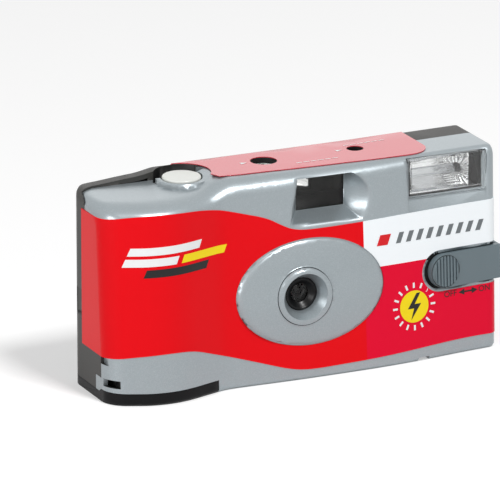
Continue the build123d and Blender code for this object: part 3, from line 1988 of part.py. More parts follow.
export_step(flash_transformer.part, "parts/flash_transformer.step")
with BuildPart() as ready_lamp:
    with BuildSketch(Plane.XZ):
        with BuildLine():
            Polyline(
                (0, lamp_shoulder + lamp_radius),
                (0, lamp_low),
                (lamp_radius, lamp_low),
                (lamp_radius, lamp_shoulder),
            )
            RadiusArc((lamp_radius, lamp_shoulder), (0, lamp_shoulder + lamp_radius), -lamp_radius)
        make_face()
    revolve(axis=Axis.Z)
    for side in (-1, 1):
        add(
            upright(
                side * lamp_leg_half,
                0,
                lamp_leg_radius,
                0,
                deck_top + face_gap,
                lamp_low + lamp_leg_half,
            )
        )
ready_lamp.part.locate(Location((lamp_hole_x, top_hole_y, 0)))
ready_lamp.part.label = "ready_lamp"
export_step(ready_lamp.part, "parts/ready_lamp.step")

# Flash switch: ribbed pad, bar, foot and the wrap round the camera's right end
slider_left = 10.0
pad_radius = 4.4
rib_count = 8
rib_pitch = 1.05
rib_width = 0.55
rib_height = 0.4
foot_depth = 2.35
wrap_gap = 0.1
wrap_thickness = 0.6
wrap_rear_y = -1.5
slot_middle = (slider_travel - groove_left) / 2
wrap_x = half_width + label_thickness + wrap_gap
slider_reach = (wrap_x + wrap_thickness - switch_x) / math.cos(math.radians(switch_turn))
with BuildPart() as flash_switch:
    with BuildSketch(switch_plane.offset(run_gap - groove_depth)):
        with BuildLine():
            Line(
                (-slider_left + slider_half_height, slider_half_height),
                (slider_reach, slider_half_height),
            )
            Line((slider_reach, slider_half_height), (slider_reach, -slider_half_height))
            Line(
                (slider_reach, -slider_half_height),
                (-slider_left + slider_half_height, -slider_half_height),
            )
            ThreePointArc(
                (-slider_left + slider_half_height, -slider_half_height),
                (-slider_left, 0),
                (-slider_left + slider_half_height, slider_half_height),
            )
        make_face()
    extrude(amount=groove_depth - run_gap + slider_proud)
    with BuildSketch(switch_plane.offset(slider_proud)):
        with Locations((slider_half_height - slider_left, 0)):
            Circle(pad_radius)
        with BuildSketch(mode=Mode.PRIVATE) as rib_rows:
            for index in range(rib_count):
                with Locations(
                    (slider_half_height - slider_left + (index - (rib_count - 1) / 2) * rib_pitch, 0)
                ):
                    Rectangle(rib_width, 2 * pad_radius)
        add(rib_rows.sketch, mode=Mode.INTERSECT)
    extrude(amount=rib_height)
    with BuildSketch(switch_plane.offset(-foot_depth)):
        with Locations((slot_middle - slider_travel / 2, 0)):
            Rectangle(foot_length, foot_height)
    extrude(amount=foot_depth)
    add(
        block(
            (wrap_x, front_y(half_width, switch_z), switch_z - slider_half_height),
            (wrap_x + wrap_thickness, wrap_rear_y, switch_z + slider_half_height),
        )
    )
flash_switch.part.label = "flash_switch"
export_step(flash_switch.part, "parts/flash_switch.step")

# Contact strip that the switch's foot closes
strip_left = 36.0
strip_right = 44.5
strip_thickness = 0.25
strip_half_height = 1.2
with BuildPart() as switch_contact:
    add(
        block(
            (strip_left, board_front_y - face_gap - strip_thickness, switch_z - strip_half_height),
            (strip_right, board_front_y - face_gap, switch_z + strip_half_height),
        )
    )
switch_contact.part.label = "switch_contact"
export_step(switch_contact.part, "parts/switch_contact.step")

# Battery between its two contacts
with BuildPart() as battery:
    add(along_x(battery_y, battery_z, battery_radius, 0, battery_left, battery_right))
    add(along_x(battery_y, battery_z, battery_nub_radius, 0, battery_left, battery_right + battery_nub))
battery.part.label = "battery"
export_step(battery.part, "parts/battery.step")


def contact_form(plate_x, direction, bulge_reach):
    """A contact plate on a bulkhead, with a round bulge towards the battery."""
    with BuildPart() as contact:
        plate_left_x = min(plate_x, plate_x + direction * contact_thickness)
        add(
            block(
                (plate_left_x, battery_y - contact_width / 2, battery_z - contact_height / 2),
                (
                    plate_left_x + contact_thickness,
                    battery_y + contact_width / 2,
                    battery_z + contact_height / 2,
                ),
            )
        )
        with BuildSketch(Plane.YZ.offset(plate_x)):
            with Locations((battery_y, battery_z)):
                Circle(contact_bulge_radius)
        with BuildSketch(Plane.YZ.offset(plate_x + direction * bulge_reach)):
            with Locations((battery_y, battery_z)):
                Circle(contact_bulge_radius / 2)
        loft()
    return contact.part


negative_plate_x = battery_left - bulkhead_gap + face_gap
positive_plate_x = battery_right + battery_nub + bulkhead_gap - face_gap
with BuildPart() as battery_contact_negative:
    add(contact_form(negative_plate_x, 1, battery_left - face_gap - negative_plate_x))
battery_contact_negative.part.label = "battery_contact_negative"
export_step(battery_contact_negative.part, "parts/battery_contact_negative.step")
with BuildPart() as battery_contact_positive:
    add(contact_form(positive_plate_x, -1, positive_plate_x - battery_right - battery_nub - face_gap))
battery_contact_positive.part.label = "battery_contact_positive"
export_step(battery_contact_positive.part, "parts/battery_contact_positive.step")
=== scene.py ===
"""Looks of a single-use 35 mm film camera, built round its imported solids, in metres."""

import math

import bmesh
import bpy
from mathutils import Matrix, Vector
from mathutils.bvhtree import BVHTree


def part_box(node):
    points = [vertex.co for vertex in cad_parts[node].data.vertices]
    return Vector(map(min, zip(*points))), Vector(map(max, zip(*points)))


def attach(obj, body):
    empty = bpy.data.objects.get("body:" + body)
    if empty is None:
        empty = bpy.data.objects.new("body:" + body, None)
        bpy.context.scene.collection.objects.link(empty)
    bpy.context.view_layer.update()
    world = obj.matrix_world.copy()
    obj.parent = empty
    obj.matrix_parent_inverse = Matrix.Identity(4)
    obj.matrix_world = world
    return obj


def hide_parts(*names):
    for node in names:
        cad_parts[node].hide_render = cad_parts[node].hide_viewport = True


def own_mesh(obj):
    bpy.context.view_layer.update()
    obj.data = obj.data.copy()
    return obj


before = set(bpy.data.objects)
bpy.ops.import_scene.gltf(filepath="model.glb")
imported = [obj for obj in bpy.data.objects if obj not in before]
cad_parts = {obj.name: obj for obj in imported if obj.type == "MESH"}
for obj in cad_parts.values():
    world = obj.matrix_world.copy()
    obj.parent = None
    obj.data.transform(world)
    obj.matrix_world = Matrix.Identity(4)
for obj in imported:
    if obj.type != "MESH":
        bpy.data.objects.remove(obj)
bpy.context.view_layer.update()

MM = 0.001
scene = bpy.context.scene

# Photographer's camera
# A long lens, far away, some way above and 25 degrees to the left of the front.
# The place was solved from the outline, the holes and the button disc.
view_yaw = math.radians(24.96)
view_pitch = math.radians(17.64)
view_roll = math.radians(0.058)
view_distance = 1700 * MM
view_aim = Vector((-13.05, 0.0, 36.01)) * MM
forward = Vector((
    math.sin(view_yaw) * math.cos(view_pitch),
    math.cos(view_yaw) * math.cos(view_pitch),
    -math.sin(view_pitch),
))
level_right = Vector((math.cos(view_yaw), -math.sin(view_yaw), 0.0))
level_up = level_right.cross(forward)
right = level_right * math.cos(view_roll) + level_up * math.sin(view_roll)
up = level_up * math.cos(view_roll) - level_right * math.sin(view_roll)
sensor_width_mm = 36.0
focal_pixels = 6130.7
photo_width_pixels = 500
far_clip = 20.0
lens = bpy.data.cameras.new("photo_camera")
lens.sensor_fit = "HORIZONTAL"
lens.sensor_width = sensor_width_mm
lens.lens = sensor_width_mm * focal_pixels / photo_width_pixels
lens.clip_end = far_clip
photo_camera = bpy.data.objects.new("photo_camera", lens)
scene.collection.objects.link(photo_camera)
photo_camera.matrix_world = Matrix.Translation(view_aim - forward * view_distance) @ Matrix(
    (right, up, -forward)
).transposed().to_4x4()
scene.camera = photo_camera

# White table and soft lights
# A product shot on a white table: a soft key light high in front, slightly to
# the right, so the shadow falls back to the left, a weaker one at the left end
# and a strip behind that draws the sheen along the top.


def linear(hex_colour):
    """A colour written as sRGB hex, in linear values with full alpha."""
    values = [int(hex_colour[i:i + 2], 16) / 255 for i in (0, 2, 4)]
    return tuple(v / 12.92 if v <= 0.04045 else ((v + 0.055) / 1.055) ** 2.4 for v in values) + (1.0,)


def add_node(tree, kind, settings=None, sockets=None, links=None):
    """One node with its settings, its input values and the sockets that feed it."""
    node = tree.nodes.new(kind)
    for name, value in (settings or {}).items():
        setattr(node, name, value)
    for name, value in (sockets or {}).items():
        node.inputs[name].default_value = value
    for name, source in (links or {}).items():
        tree.links.new(source, node.inputs[name])
    return node


def new_finish(name):
    """An empty node material and its tree."""
    material = bpy.data.materials.new(name)
    material.use_nodes = True
    material.node_tree.nodes.clear()
    return material, material.node_tree


def seen_as_background(tree):
    """1 for rays from the camera, off a shiny surface or through glass, and 0 for all other light."""
    path = add_node(tree, "ShaderNodeLightPath")
    seen = path.outputs["Is Camera Ray"]
    for ray in ("Is Glossy Ray", "Is Transmission Ray"):
        either = add_node(
            tree, "ShaderNodeMath", {"operation": "MAXIMUM"}, links={0: seen, 1: path.outputs[ray]}
        )
        seen = either.outputs[0]
    return seen


# Matt white paint: it takes the shadow, and shows white where light reaches it
table_glow_strength = 0.4
table_paint, tree = new_finish("matt_white_table_paint")
table_diffuse = add_node(tree, "ShaderNodeBsdfDiffuse", sockets={"Color": linear("D4D4D4")})
table_glow = add_node(
    tree, "ShaderNodeEmission", sockets={"Color": linear("FFFFFF"), "Strength": table_glow_strength}
)
table_extra = add_node(
    tree, "ShaderNodeMixShader", links={0: seen_as_background(tree), 2: table_glow.outputs[0]}
)
table_sum = add_node(
    tree, "ShaderNodeAddShader", links={0: table_diffuse.outputs[0], 1: table_extra.outputs[0]}
)
add_node(tree, "ShaderNodeOutputMaterial", links={"Surface": table_sum.outputs[0]})
table_half = 3.0
table_gap = 0.02 * MM
table_corners = [
    (x * table_half, y * table_half, 0.0) for x, y in ((-1, -1), (1, -1), (1, 1), (-1, 1))
]
table_mesh = bpy.data.meshes.new("table")
table_mesh.from_pydata(table_corners, [], [(0, 1, 2, 3)])
table_mesh.materials.append(table_paint)
table = bpy.data.objects.new("table", table_mesh)
table.location.z = -table_gap
scene.collection.objects.link(table)

# White walls: a plain fill for the object, full white where they are seen
fill_strength = 0.27
studio = bpy.data.worlds.new("studio")
scene.world = studio
studio.use_nodes = True
studio.node_tree.nodes.clear()
studio_fill = add_node(
    studio.node_tree, "ShaderNodeBackground", sockets={"Color": linear("FFFFFF"), "Strength": fill_strength}
)
studio_white = add_node(
    studio.node_tree, "ShaderNodeBackground", sockets={"Color": linear("FFFFFF"), "Strength": 1.0}
)
studio_mix = add_node(
    studio.node_tree, "ShaderNodeMixShader",
    links={0: seen_as_background(studio.node_tree), 1: studio_fill.outputs[0], 2: studio_white.outputs[0]},
)
add_node(studio.node_tree, "ShaderNodeOutputWorld", links={"Surface": studio_mix.outputs[0]})

# Lamps: each one's place and size in metres, and its power in watts
lamp_target = Vector((0, 0, 0.03))
for lamp_name, place, size_x, size_y, power in (
    ("key_softbox", (0.23, -0.81, 1.36), 0.30, 0.30, 17.0),
    ("left_softbox", (-1.05, -0.40, 0.40), 0.60, 0.50, 6.0),
    ("rear_strip", (0.50, 1.05, 0.48), 1.10, 0.45, 0.8),
):
    lamp_data = bpy.data.lights.new(lamp_name, "AREA")
    lamp_data.shape = "RECTANGLE"
    lamp_data.size = size_x
    lamp_data.size_y = size_y
    lamp_data.energy = power
    lamp = bpy.data.objects.new(lamp_name, lamp_data)
    lamp.location = place
    lamp.rotation_euler = (lamp_target - Vector(place)).to_track_quat("-Z", "Y").to_euler()
    scene.collection.objects.link(lamp)
scene.view_settings.view_transform = "Standard"

# Chassis
# One black ABS moulding inside both covers: film chambers, light box, decks
# and bulkheads. Its matt texture keeps stray light off the film. The covers
# snap over it.

cloud_mm = 14.0
cloud_darkest = 0.9
gloss_spread = 0.05


def darker(hex_colour, share):
    """A share of a colour's light, with full alpha."""
    return tuple(value * share for value in linear(hex_colour)[:3]) + (1.0,)


def moulded(name, colour, roughness, grain_mm, depth_mm, specular=0.5):
    """Moulded plastic: one colour, a little cloudy, with the fine eroded texture of its mould."""
    material, tree = new_finish(name)
    place = add_node(tree, "ShaderNodeTexCoord")
    grain = add_node(
        tree, "ShaderNodeTexNoise", sockets={"Scale": 1 / (grain_mm * MM), "Detail": 3.0, "Roughness": 0.6},
        links={"Vector": place.outputs["Object"]},
    )
    cloud = add_node(
        tree, "ShaderNodeTexNoise", sockets={"Scale": 1 / (cloud_mm * MM), "Detail": 2.0},
        links={"Vector": place.outputs["Object"]},
    )
    shade = add_node(
        tree, "ShaderNodeMix", {"data_type": "RGBA"},
        {6: darker(colour, cloud_darkest), 7: linear(colour)}, {0: cloud.outputs["Fac"]},
    )
    gloss = add_node(
        tree, "ShaderNodeMapRange",
        sockets={"To Min": roughness - gloss_spread, "To Max": roughness + gloss_spread},
        links={"Value": grain.outputs["Fac"]},
    )
    relief = add_node(
        tree, "ShaderNodeBump", sockets={"Strength": 0.4, "Distance": depth_mm * MM},
        links={"Height": grain.outputs["Fac"]},
    )
    surface = add_node(
        tree, "ShaderNodeBsdfPrincipled", sockets={"IOR": 1.5, "Specular IOR Level": specular},
        links={"Base Color": shade.outputs[2], "Roughness": gloss.outputs[0], "Normal": relief.outputs[0]},
    )
    add_node(tree, "ShaderNodeOutputMaterial", links={"Surface": surface.outputs[0]})
    return material


def dress(node, material):
    """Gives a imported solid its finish."""
    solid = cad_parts[node]
    solid.data.materials.clear()
    solid.data.materials.append(material)


# Black ABS: deep black with a dull, even texture; the covers also wear it as painted shade in their holes,
# slots, groove and button well
black_abs = moulded("black_abs_moulding_and_painted_shade", "101010", 0.5, 0.4, 0.03, 0.3)
dress("chassis", black_abs)

# Film cassette and film
# A painted tinplate can holds the black acetal spool that takes the film up.
# The brown acetate film runs to the roll on its black core at the other side.


def middle(node):
    """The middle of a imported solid's box in mm, to the tenth that the camera is drawn in."""
    low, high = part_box(node)
    return Vector([round(value, 1) for value in (low + high) / 2 / MM])


# Lacquered tinplate: smooth dark lacquer, bare steel at the rolled lips
can_foot, can_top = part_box("cassette_shell")
lip_height = 1.8 * MM
scuff_mm = 2.5
cassette_lacquer, tree = new_finish("lacquered_tinplate")
place = add_node(tree, "ShaderNodeTexCoord")
parts = add_node(tree, "ShaderNodeSeparateXYZ", links={0: place.outputs["Object"]})
lip_low = add_node(
    tree, "ShaderNodeMath", {"operation": "LESS_THAN"}, {1: can_foot.z + lip_height}, {0: parts.outputs["Z"]}
)
lip_high = add_node(
    tree, "ShaderNodeMath", {"operation": "GREATER_THAN"}, {1: can_top.z - lip_height},
    {0: parts.outputs["Z"]},
)
lips = add_node(
    tree, "ShaderNodeMath", {"operation": "MAXIMUM"}, links={0: lip_low.outputs[0], 1: lip_high.outputs[0]}
)
scuff = add_node(
    tree, "ShaderNodeTexNoise", sockets={"Scale": 1 / (scuff_mm * MM), "Detail": 5.0},
    links={"Vector": place.outputs["Object"]},
)
coat = add_node(
    tree, "ShaderNodeMix", {"data_type": "RGBA"}, {6: linear("1E2A3C"), 7: linear("26364C")},
    {0: scuff.outputs["Fac"]},
)
skin = add_node(
    tree, "ShaderNodeMix", {"data_type": "RGBA"}, {7: linear("B9BBBD")},
    {0: lips.outputs[0], 6: coat.outputs[2]},
)
gloss = add_node(
    tree, "ShaderNodeMapRange", sockets={"To Min": 0.2, "To Max": 0.34}, links={"Value": scuff.outputs["Fac"]}
)
surface = add_node(
    tree, "ShaderNodeBsdfPrincipled",
    links={"Base Color": skin.outputs[2], "Metallic": lips.outputs[0], "Roughness": gloss.outputs[0]},
)
add_node(tree, "ShaderNodeOutputMaterial", links={"Surface": surface.outputs[0]})
dress("cassette_shell", cassette_lacquer)

# Acetate film base: dark brown gloss, with the fine lines of the wound edges
roll_middle = middle("film_roll") * MM
wound_edge_mm = 3.5
film_acetate, tree = new_finish("wound_acetate_film")
place = add_node(tree, "ShaderNodeTexCoord")
centre = add_node(
    tree, "ShaderNodeMapping", sockets={"Location": (-roll_middle.x, -roll_middle.y, 0.0)},
    links={"Vector": place.outputs["Object"]},
)
rings = add_node(
    tree, "ShaderNodeTexWave", {"wave_type": "RINGS", "rings_direction": "Z"},
    {"Scale": 1 / (wound_edge_mm * MM), "Distortion": 0.4}, {"Vector": centre.outputs[0]},
)
shade = add_node(
    tree, "ShaderNodeMix", {"data_type": "RGBA"}, {6: linear("2A120A"), 7: linear("4A2414")},
    {0: rings.outputs["Fac"]},
)
relief = add_node(
    tree, "ShaderNodeBump", sockets={"Strength": 0.3, "Distance": 0.03 * MM},
    links={"Height": rings.outputs["Fac"]},
)
surface = add_node(
    tree, "ShaderNodeBsdfPrincipled", sockets={"Roughness": 0.24, "IOR": 1.48},
    links={"Base Color": shade.outputs[2], "Normal": relief.outputs[0]},
)
add_node(tree, "ShaderNodeOutputMaterial", links={"Surface": surface.outputs[0]})
dress("film_strip", film_acetate)
dress("film_roll", film_acetate)
dress("cassette_spool", black_abs)
dress("supply_spool", black_abs)

# Winding wheel and counter train
# The thumb turns a knurled black wheel that drives the cassette's spool. The
# film turns a white acetal sprocket, whose cam and finger step the counter.

# Acetal: milky white, slightly waxy
white_acetal = moulded("white_acetal_moulding", "E9EBE6", 0.36, 0.8, 0.01)
dress("sprocket", white_acetal)
dress("advance_cam", white_acetal)
dress("metering_lever", white_acetal)

merge_distance = 0.002 * MM
large_face_weight = 90


def plain_mesh(draft):
    """A draft object's mesh with its modifiers applied; the draft goes."""
    settled = draft.evaluated_get(bpy.context.evaluated_depsgraph_get())
    mesh = bpy.data.meshes.new_from_object(settled)
    bpy.data.objects.remove(draft)
    return mesh


def smooth_shell(node, body, materials, angle=30, pick=None, even=True):
    """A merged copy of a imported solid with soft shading, in its place.

    pick gives a face's material, and even lets the large faces lead the shading.
    """
    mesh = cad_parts[node].data.copy()
    mesh.name = node + "_shell"
    mesh.materials.clear()
    for material in materials:
        mesh.materials.append(material)
    build = bmesh.new()
    build.from_mesh(mesh)
    bmesh.ops.remove_doubles(build, verts=build.verts, dist=merge_distance)
    for face in build.faces:
        face.material_index = pick(face.calc_center_median() / MM, face.normal) if pick else 0
    build.to_mesh(mesh)
    build.free()
    mesh.shade_smooth()
    mesh.set_sharp_from_angle(angle=math.radians(angle))
    draft = bpy.data.objects.new(node + "_draft", mesh)
    scene.collection.objects.link(draft)
    if even:
        leader = draft.modifiers.new("even", "WEIGHTED_NORMAL")
        leader.keep_sharp = True
        leader.weight = large_face_weight
    shell = bpy.data.objects.new(node + "_shell", plain_mesh(draft))
    scene.collection.objects.link(shell)
    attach(shell, body)
    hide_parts(node)
    return shell


smooth_shell("thumbwheel", "take_up", [black_abs])
counter_shell = smooth_shell("counter_disc", "counter", [white_acetal])


def grown(name, tree, values, material):
    """A plain mesh made by a Geometry Nodes tree from its named input values."""
    seed = bpy.data.objects.new(name, bpy.data.meshes.new(name))
    scene.collection.objects.link(seed)
    grower = seed.modifiers.new("grow", "NODES")
    grower.node_group = tree
    given = {**values, "Material": material}
    for item in tree.interface.items_tree:
        if item.item_type == "SOCKET" and item.in_out == "INPUT":
            grower[item.identifier] = given[item.name]
    return plain_mesh(seed)


def bar_tree(name, ring):
    """A tree that repeats a slanted bar along a line, or round a ring whose radius is Spacing."""
    tree = bpy.data.node_groups.new(name, "GeometryNodeTree")
    for socket_name, kind in (
        ("Count", "NodeSocketInt"), ("Spacing", "NodeSocketFloat"), ("Width", "NodeSocketFloat"),
        ("Height", "NodeSocketFloat"), ("Slant", "NodeSocketFloat"), ("Material", "NodeSocketMaterial"),
    ):
        tree.interface.new_socket(socket_name, in_out="INPUT", socket_type=kind)
    tree.interface.new_socket("Geometry", in_out="OUTPUT", socket_type="NodeSocketGeometry")
    given = add_node(tree, "NodeGroupInput")
    outline = add_node(
        tree, "GeometryNodeCurvePrimitiveQuadrilateral", {"mode": "PARALLELOGRAM"},
        links={
            "Width": given.outputs["Width"], "Height": given.outputs["Height"],
            "Offset": given.outputs["Slant"],
        },
    )
    bar = add_node(tree, "GeometryNodeFillCurve", links={"Curve": outline.outputs[0]})
    if ring:
        circle = add_node(
            tree, "GeometryNodeCurvePrimitiveCircle",
            links={"Resolution": given.outputs["Count"], "Radius": given.outputs["Spacing"]},
        )
        tangent = add_node(tree, "GeometryNodeInputTangent")
        turn = add_node(
            tree, "FunctionNodeAlignRotationToVector", {"axis": "X"}, links={"Vector": tangent.outputs[0]}
        )
        spread = add_node(
            tree, "GeometryNodeInstanceOnPoints",
            links={"Points": circle.outputs[0], "Instance": bar.outputs[0], "Rotation": turn.outputs[0]},
        )
    else:
        step = add_node(tree, "ShaderNodeCombineXYZ", links={"X": given.outputs["Spacing"]})
        row = add_node(
            tree, "GeometryNodeMeshLine", links={"Count": given.outputs["Count"], "Offset": step.outputs[0]}
        )
        spread = add_node(
            tree, "GeometryNodeInstanceOnPoints", links={"Points": row.outputs[0], "Instance": bar.outputs[0]}
        )
    real = add_node(tree, "GeometryNodeRealizeInstances", links={"Geometry": spread.outputs[0]})
    painted = add_node(
        tree, "GeometryNodeSetMaterial",
        links={"Geometry": real.outputs[0], "Material": given.outputs["Material"]},
    )
    add_node(tree, "NodeGroupOutput", links={"Geometry": painted.outputs[0]})
    return tree


bar_ring = bar_tree("ring_of_bars", True)

# Prints are cut into patches, in mm, so that they follow the covers' curves
patch_width = 1.5
patch_height = 4.0
ink_thickness = 0.02 * MM
# The way each print is pressed on, and how far out it starts
press_ways = {
    "front": (Vector((0, 1, 0)), 60 * MM),
    "rear": (Vector((0, -1, 0)), 60 * MM),
    "top": (Vector((0, 0, -1)), 90 * MM),
}


def lay_print(name, flat, material, shell, facing, body="camera_body", lift=0.04):
    """Prints flat meshes onto a shell's front, top or rear, lift above it; all is drawn in mm."""
    build = bmesh.new()
    for mesh in flat:
        build.from_mesh(mesh)
    spans = [[v.co[axis] for v in build.verts] for axis in (0, 1)]
    for axis, step in ((0, patch_width), (1, patch_height)):
        across = Vector((1, 0, 0)) if axis == 0 else Vector((0, 1, 0))
        cut = math.floor(min(spans[axis]) / step) * step + step
        while cut < max(spans[axis]):
            bmesh.ops.bisect_plane(
                build, geom=build.verts[:] + build.edges[:] + build.faces[:], plane_co=across * cut,
                plane_no=across,
            )
            cut += step
    ground = BVHTree.FromPolygons(
        [v.co.copy() for v in shell.data.vertices], [tuple(p.vertices) for p in shell.data.polygons]
    )
    along, away = press_ways[facing]
    beside = []
    for vert in build.verts:
        u, v = vert.co[0] * MM, vert.co[1] * MM
        start = Vector((u, v, away)) if facing == "top" else Vector((u, -away * along[1], v))
        hit = ground.ray_cast(start, along)[0]
        if hit:
            vert.co = hit - along * lift * MM
        else:
            beside.append(vert)
    bmesh.ops.delete(build, geom=beside, context="VERTS")
    bmesh.ops.recalc_face_normals(build, faces=build.faces)
    if sum(face.normal.dot(along) * face.calc_area() for face in build.faces) > 0:
        bmesh.ops.reverse_faces(build, faces=build.faces)
    base = bmesh.ops.extrude_face_region(build, geom=build.faces[:], use_keep_orig=True)
    for item in base["geom"]:
        if isinstance(item, bmesh.types.BMVert):
            item.co -= along * ink_thickness
    bmesh.ops.recalc_face_normals(build, faces=build.faces)
    mesh = bpy.data.meshes.new(name)
    build.to_mesh(mesh)
    build.free()
    mesh.materials.clear()
    mesh.materials.append(material)
    printed = bpy.data.objects.new(name, mesh)
    scene.collection.objects.link(printed)
    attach(printed, body)
    return printed


size_over_capitals = 1.37


def flat_text(words, height, place, turn=0.0):
    """A flat mesh of plain letters or numbers, in mm, centred on a place."""
    curve = bpy.data.curves.new("lettering", "FONT")
    curve.body = words
    curve.size = height * size_over_capitals
    curve.align_x = "CENTER"
    curve.align_y = "CENTER"
    draft = bpy.data.objects.new("lettering", curve)
    scene.collection.objects.link(draft)
    mesh = plain_mesh(draft)
    mesh.transform(Matrix.Translation((place[0], place[1], 0.0)) @ Matrix.Rotation(turn, 4, "Z"))
    return mesh


ink_patch_mm = 1.2
ink_darkest = 0.94


def ink(name, colour):
    """Printing ink under the label's clear film: flat colour, slightly uneven in weight."""
    material, tree = new_finish(name)
    place = add_node(tree, "ShaderNodeTexCoord")
    weight = add_node(
        tree, "ShaderNodeTexNoise", sockets={"Scale": 1 / (ink_patch_mm * MM), "Detail": 3.0},
        links={"Vector": place.outputs["Object"]},
    )
    shade = add_node(
        tree, "ShaderNodeMix", {"data_type": "RGBA"}, {6: darker(colour, ink_darkest), 7: linear(colour)},
        {0: weight.outputs["Fac"]},
    )
    surface = add_node(
        tree, "ShaderNodeBsdfPrincipled", sockets={"Roughness": 0.3, "IOR": 1.5, "Specular IOR Level": 0.3},
        links={"Base Color": shade.outputs[2]},
    )
    add_node(tree, "ShaderNodeOutputMaterial", links={"Surface": surface.outputs[0]})
    return material


# Black ink for the counter: every fourth exposure has its number, and each one a tick, in mm
black_ink = ink("black_print_ink", "1A1A1A")
disc_middle = middle("counter_disc")
number_count = 8
number_step = 4
number_reach = 5.3
number_height = 1.5
tick_reach = 3.9
disc_ink_lift = 0.01
counter_numbers = []
for index in range(number_count):
    angle = -2 * math.pi * index / number_count
    place = (disc_middle.x + number_reach * math.cos(angle), disc_middle.y + number_reach * math.sin(angle))
    number = str(number_step * index)
    counter_numbers.append(flat_text(number, number_height, place, angle - math.pi / 2))
ticks = grown(
    "counter_ticks", bar_ring,
    {
        "Count": number_count * number_step, "Spacing": tick_reach, "Width": 0.14, "Height": 0.45,
        "Slant": 0.0,
    },
    black_ink,
)
ticks.transform(Matrix.Translation((disc_middle.x, disc_middle.y, 0.0)))
lay_print(
    "counter_numbers", counter_numbers + [ticks], black_ink, counter_shell, "top", "counter",
    disc_ink_lift,
)

# Shutter
# A black plate carries a blackened steel blade and a striker, each with a fine
# wire spring. The button's own spring sits under the rocker.

streak_length_ratio = 12.0
shinier_streak = 0.06
duller_streak = 0.08


def metal(name, colour, roughness, streak_mm):
    """Bare metal with the faint streaks of rolling or drawing."""
    material, tree = new_finish(name)
    place = add_node(tree, "ShaderNodeTexCoord")
    stretch = add_node(
        tree, "ShaderNodeMapping", sockets={"Scale": (1.0, 1.0, streak_length_ratio)},
        links={"Vector": place.outputs["Object"]},
    )
    streak = add_node(
        tree, "ShaderNodeTexNoise", sockets={"Scale": 1 / (streak_mm * MM), "Detail": 4.0},
        links={"Vector": stretch.outputs[0]},
    )
    gloss = add_node(
        tree, "ShaderNodeMapRange",
        sockets={"To Min": roughness - shinier_streak, "To Max": roughness + duller_streak},
        links={"Value": streak.outputs["Fac"]},
    )
    relief = add_node(
        tree, "ShaderNodeBump", sockets={"Strength": 0.15, "Distance": 0.01 * MM},
        links={"Height": streak.outputs["Fac"]},
    )
    surface = add_node(
        tree, "ShaderNodeBsdfPrincipled", sockets={"Base Color": linear(colour), "Metallic": 1.0},
        links={"Roughness": gloss.outputs[0], "Normal": relief.outputs[0]},
    )
    add_node(tree, "ShaderNodeOutputMaterial", links={"Surface": surface.outputs[0]})
    return material


# Spring wire: bright, drawn; blackened steel: dull with a soft sheen
spring_wire = metal("drawn_spring_wire", "A9ABAE", 0.3, 0.6)
black_steel = metal("blackened_steel", "222224", 0.5, 6.0)
for node in ("blade_spring", "striker_spring", "striker_lever"):
    dress(node, spring_wire)
dress("shutter_blade", black_steel)
# The button's spring stands on the deck, and the rocker shortens it as the button goes down
button_coil = smooth_shell("button_spring", "camera_body", [spring_wire], even=False)
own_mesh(button_coil)

# Lens
# A stepped black holder behind the silver cone grips one small moulded acrylic
# lens. Its rings catch thin lines of light.

wave_mm = 25.0


def clear(name, tint, roughness, ior, shine=1.0):
    """Clear plastic or glass, faintly wavy; shine is the share of reflection that a coat leaves."""
    material, tree = new_finish(name)
    place = add_node(tree, "ShaderNodeTexCoord")
    wave = add_node(
        tree, "ShaderNodeTexNoise", sockets={"Scale": 1 / (wave_mm * MM), "Detail": 1.0},
        links={"Vector": place.outputs["Object"]},
    )
    relief = add_node(
        tree, "ShaderNodeBump", sockets={"Strength": 0.1, "Distance": 0.01 * MM},
        links={"Height": wave.outputs["Fac"]},
    )
    surface = add_node(
        tree, "ShaderNodeBsdfPrincipled",
        sockets={
            "Base Color": linear(tint), "Roughness": roughness, "IOR": ior,
            "Specular Tint": (shine, shine, shine, 1.0), "Transmission Weight": 1.0,
        },
        links={"Normal": relief.outputs[0]},
    )
    add_node(tree, "ShaderNodeOutputMaterial", links={"Surface": surface.outputs[0]})
    return material


# Gloss black for the rings; coated acrylic: water clear, and dark where its coat dims reflections
gloss_black = moulded("gloss_black_moulding", "0A0A0B", 0.3, 4.0, 0.01, 0.25)
coated_acrylic = clear("coated_acrylic", "F4F5F4", 0.02, 1.49, 0.3)
dress("shutter_plate", gloss_black)
smooth_shell("lens_holder", "camera_body", [gloss_black], even=False)
smooth_shell("taking_lens", "camera_body", [coated_acrylic], even=False)

# Battery and contacts
# One round steel cell in a printed jacket lies along the base between two
# stamped brass contacts.

# Printed foil jacket: dark with a metallic band, bare steel at the ends
cell_low, cell_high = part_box("battery")
jacket_bands = ((0.0, "B5B7BA"), (0.015, "24282E"), (0.714, "A8702E"), (0.967, "B5B7BA"))
jacket_scuff_mm = 3.0
battery_jacket, tree = new_finish("printed_foil_jacket")
place = add_node(tree, "ShaderNodeTexCoord")
parts = add_node(tree, "ShaderNodeSeparateXYZ", links={0: place.outputs["Object"]})
bands = add_node(
    tree, "ShaderNodeMapRange", sockets={"From Min": cell_low.x, "From Max": cell_high.x},
    links={"Value": parts.outputs["X"]},
)
colours = add_node(tree, "ShaderNodeValToRGB", links={0: bands.outputs[0]})
colours.color_ramp.interpolation = "CONSTANT"
for index, (stop, colour) in enumerate(jacket_bands):
    point = colours.color_ramp.elements[index] if index < 2 else colours.color_ramp.elements.new(stop)
    point.position = stop
    point.color = linear(colour)
scuff = add_node(
    tree, "ShaderNodeTexNoise", sockets={"Scale": 1 / (jacket_scuff_mm * MM), "Detail": 4.0},
    links={"Vector": place.outputs["Object"]},
)
gloss = add_node(
    tree, "ShaderNodeMapRange", sockets={"To Min": 0.22, "To Max": 0.36},
    links={"Value": scuff.outputs["Fac"]},
)
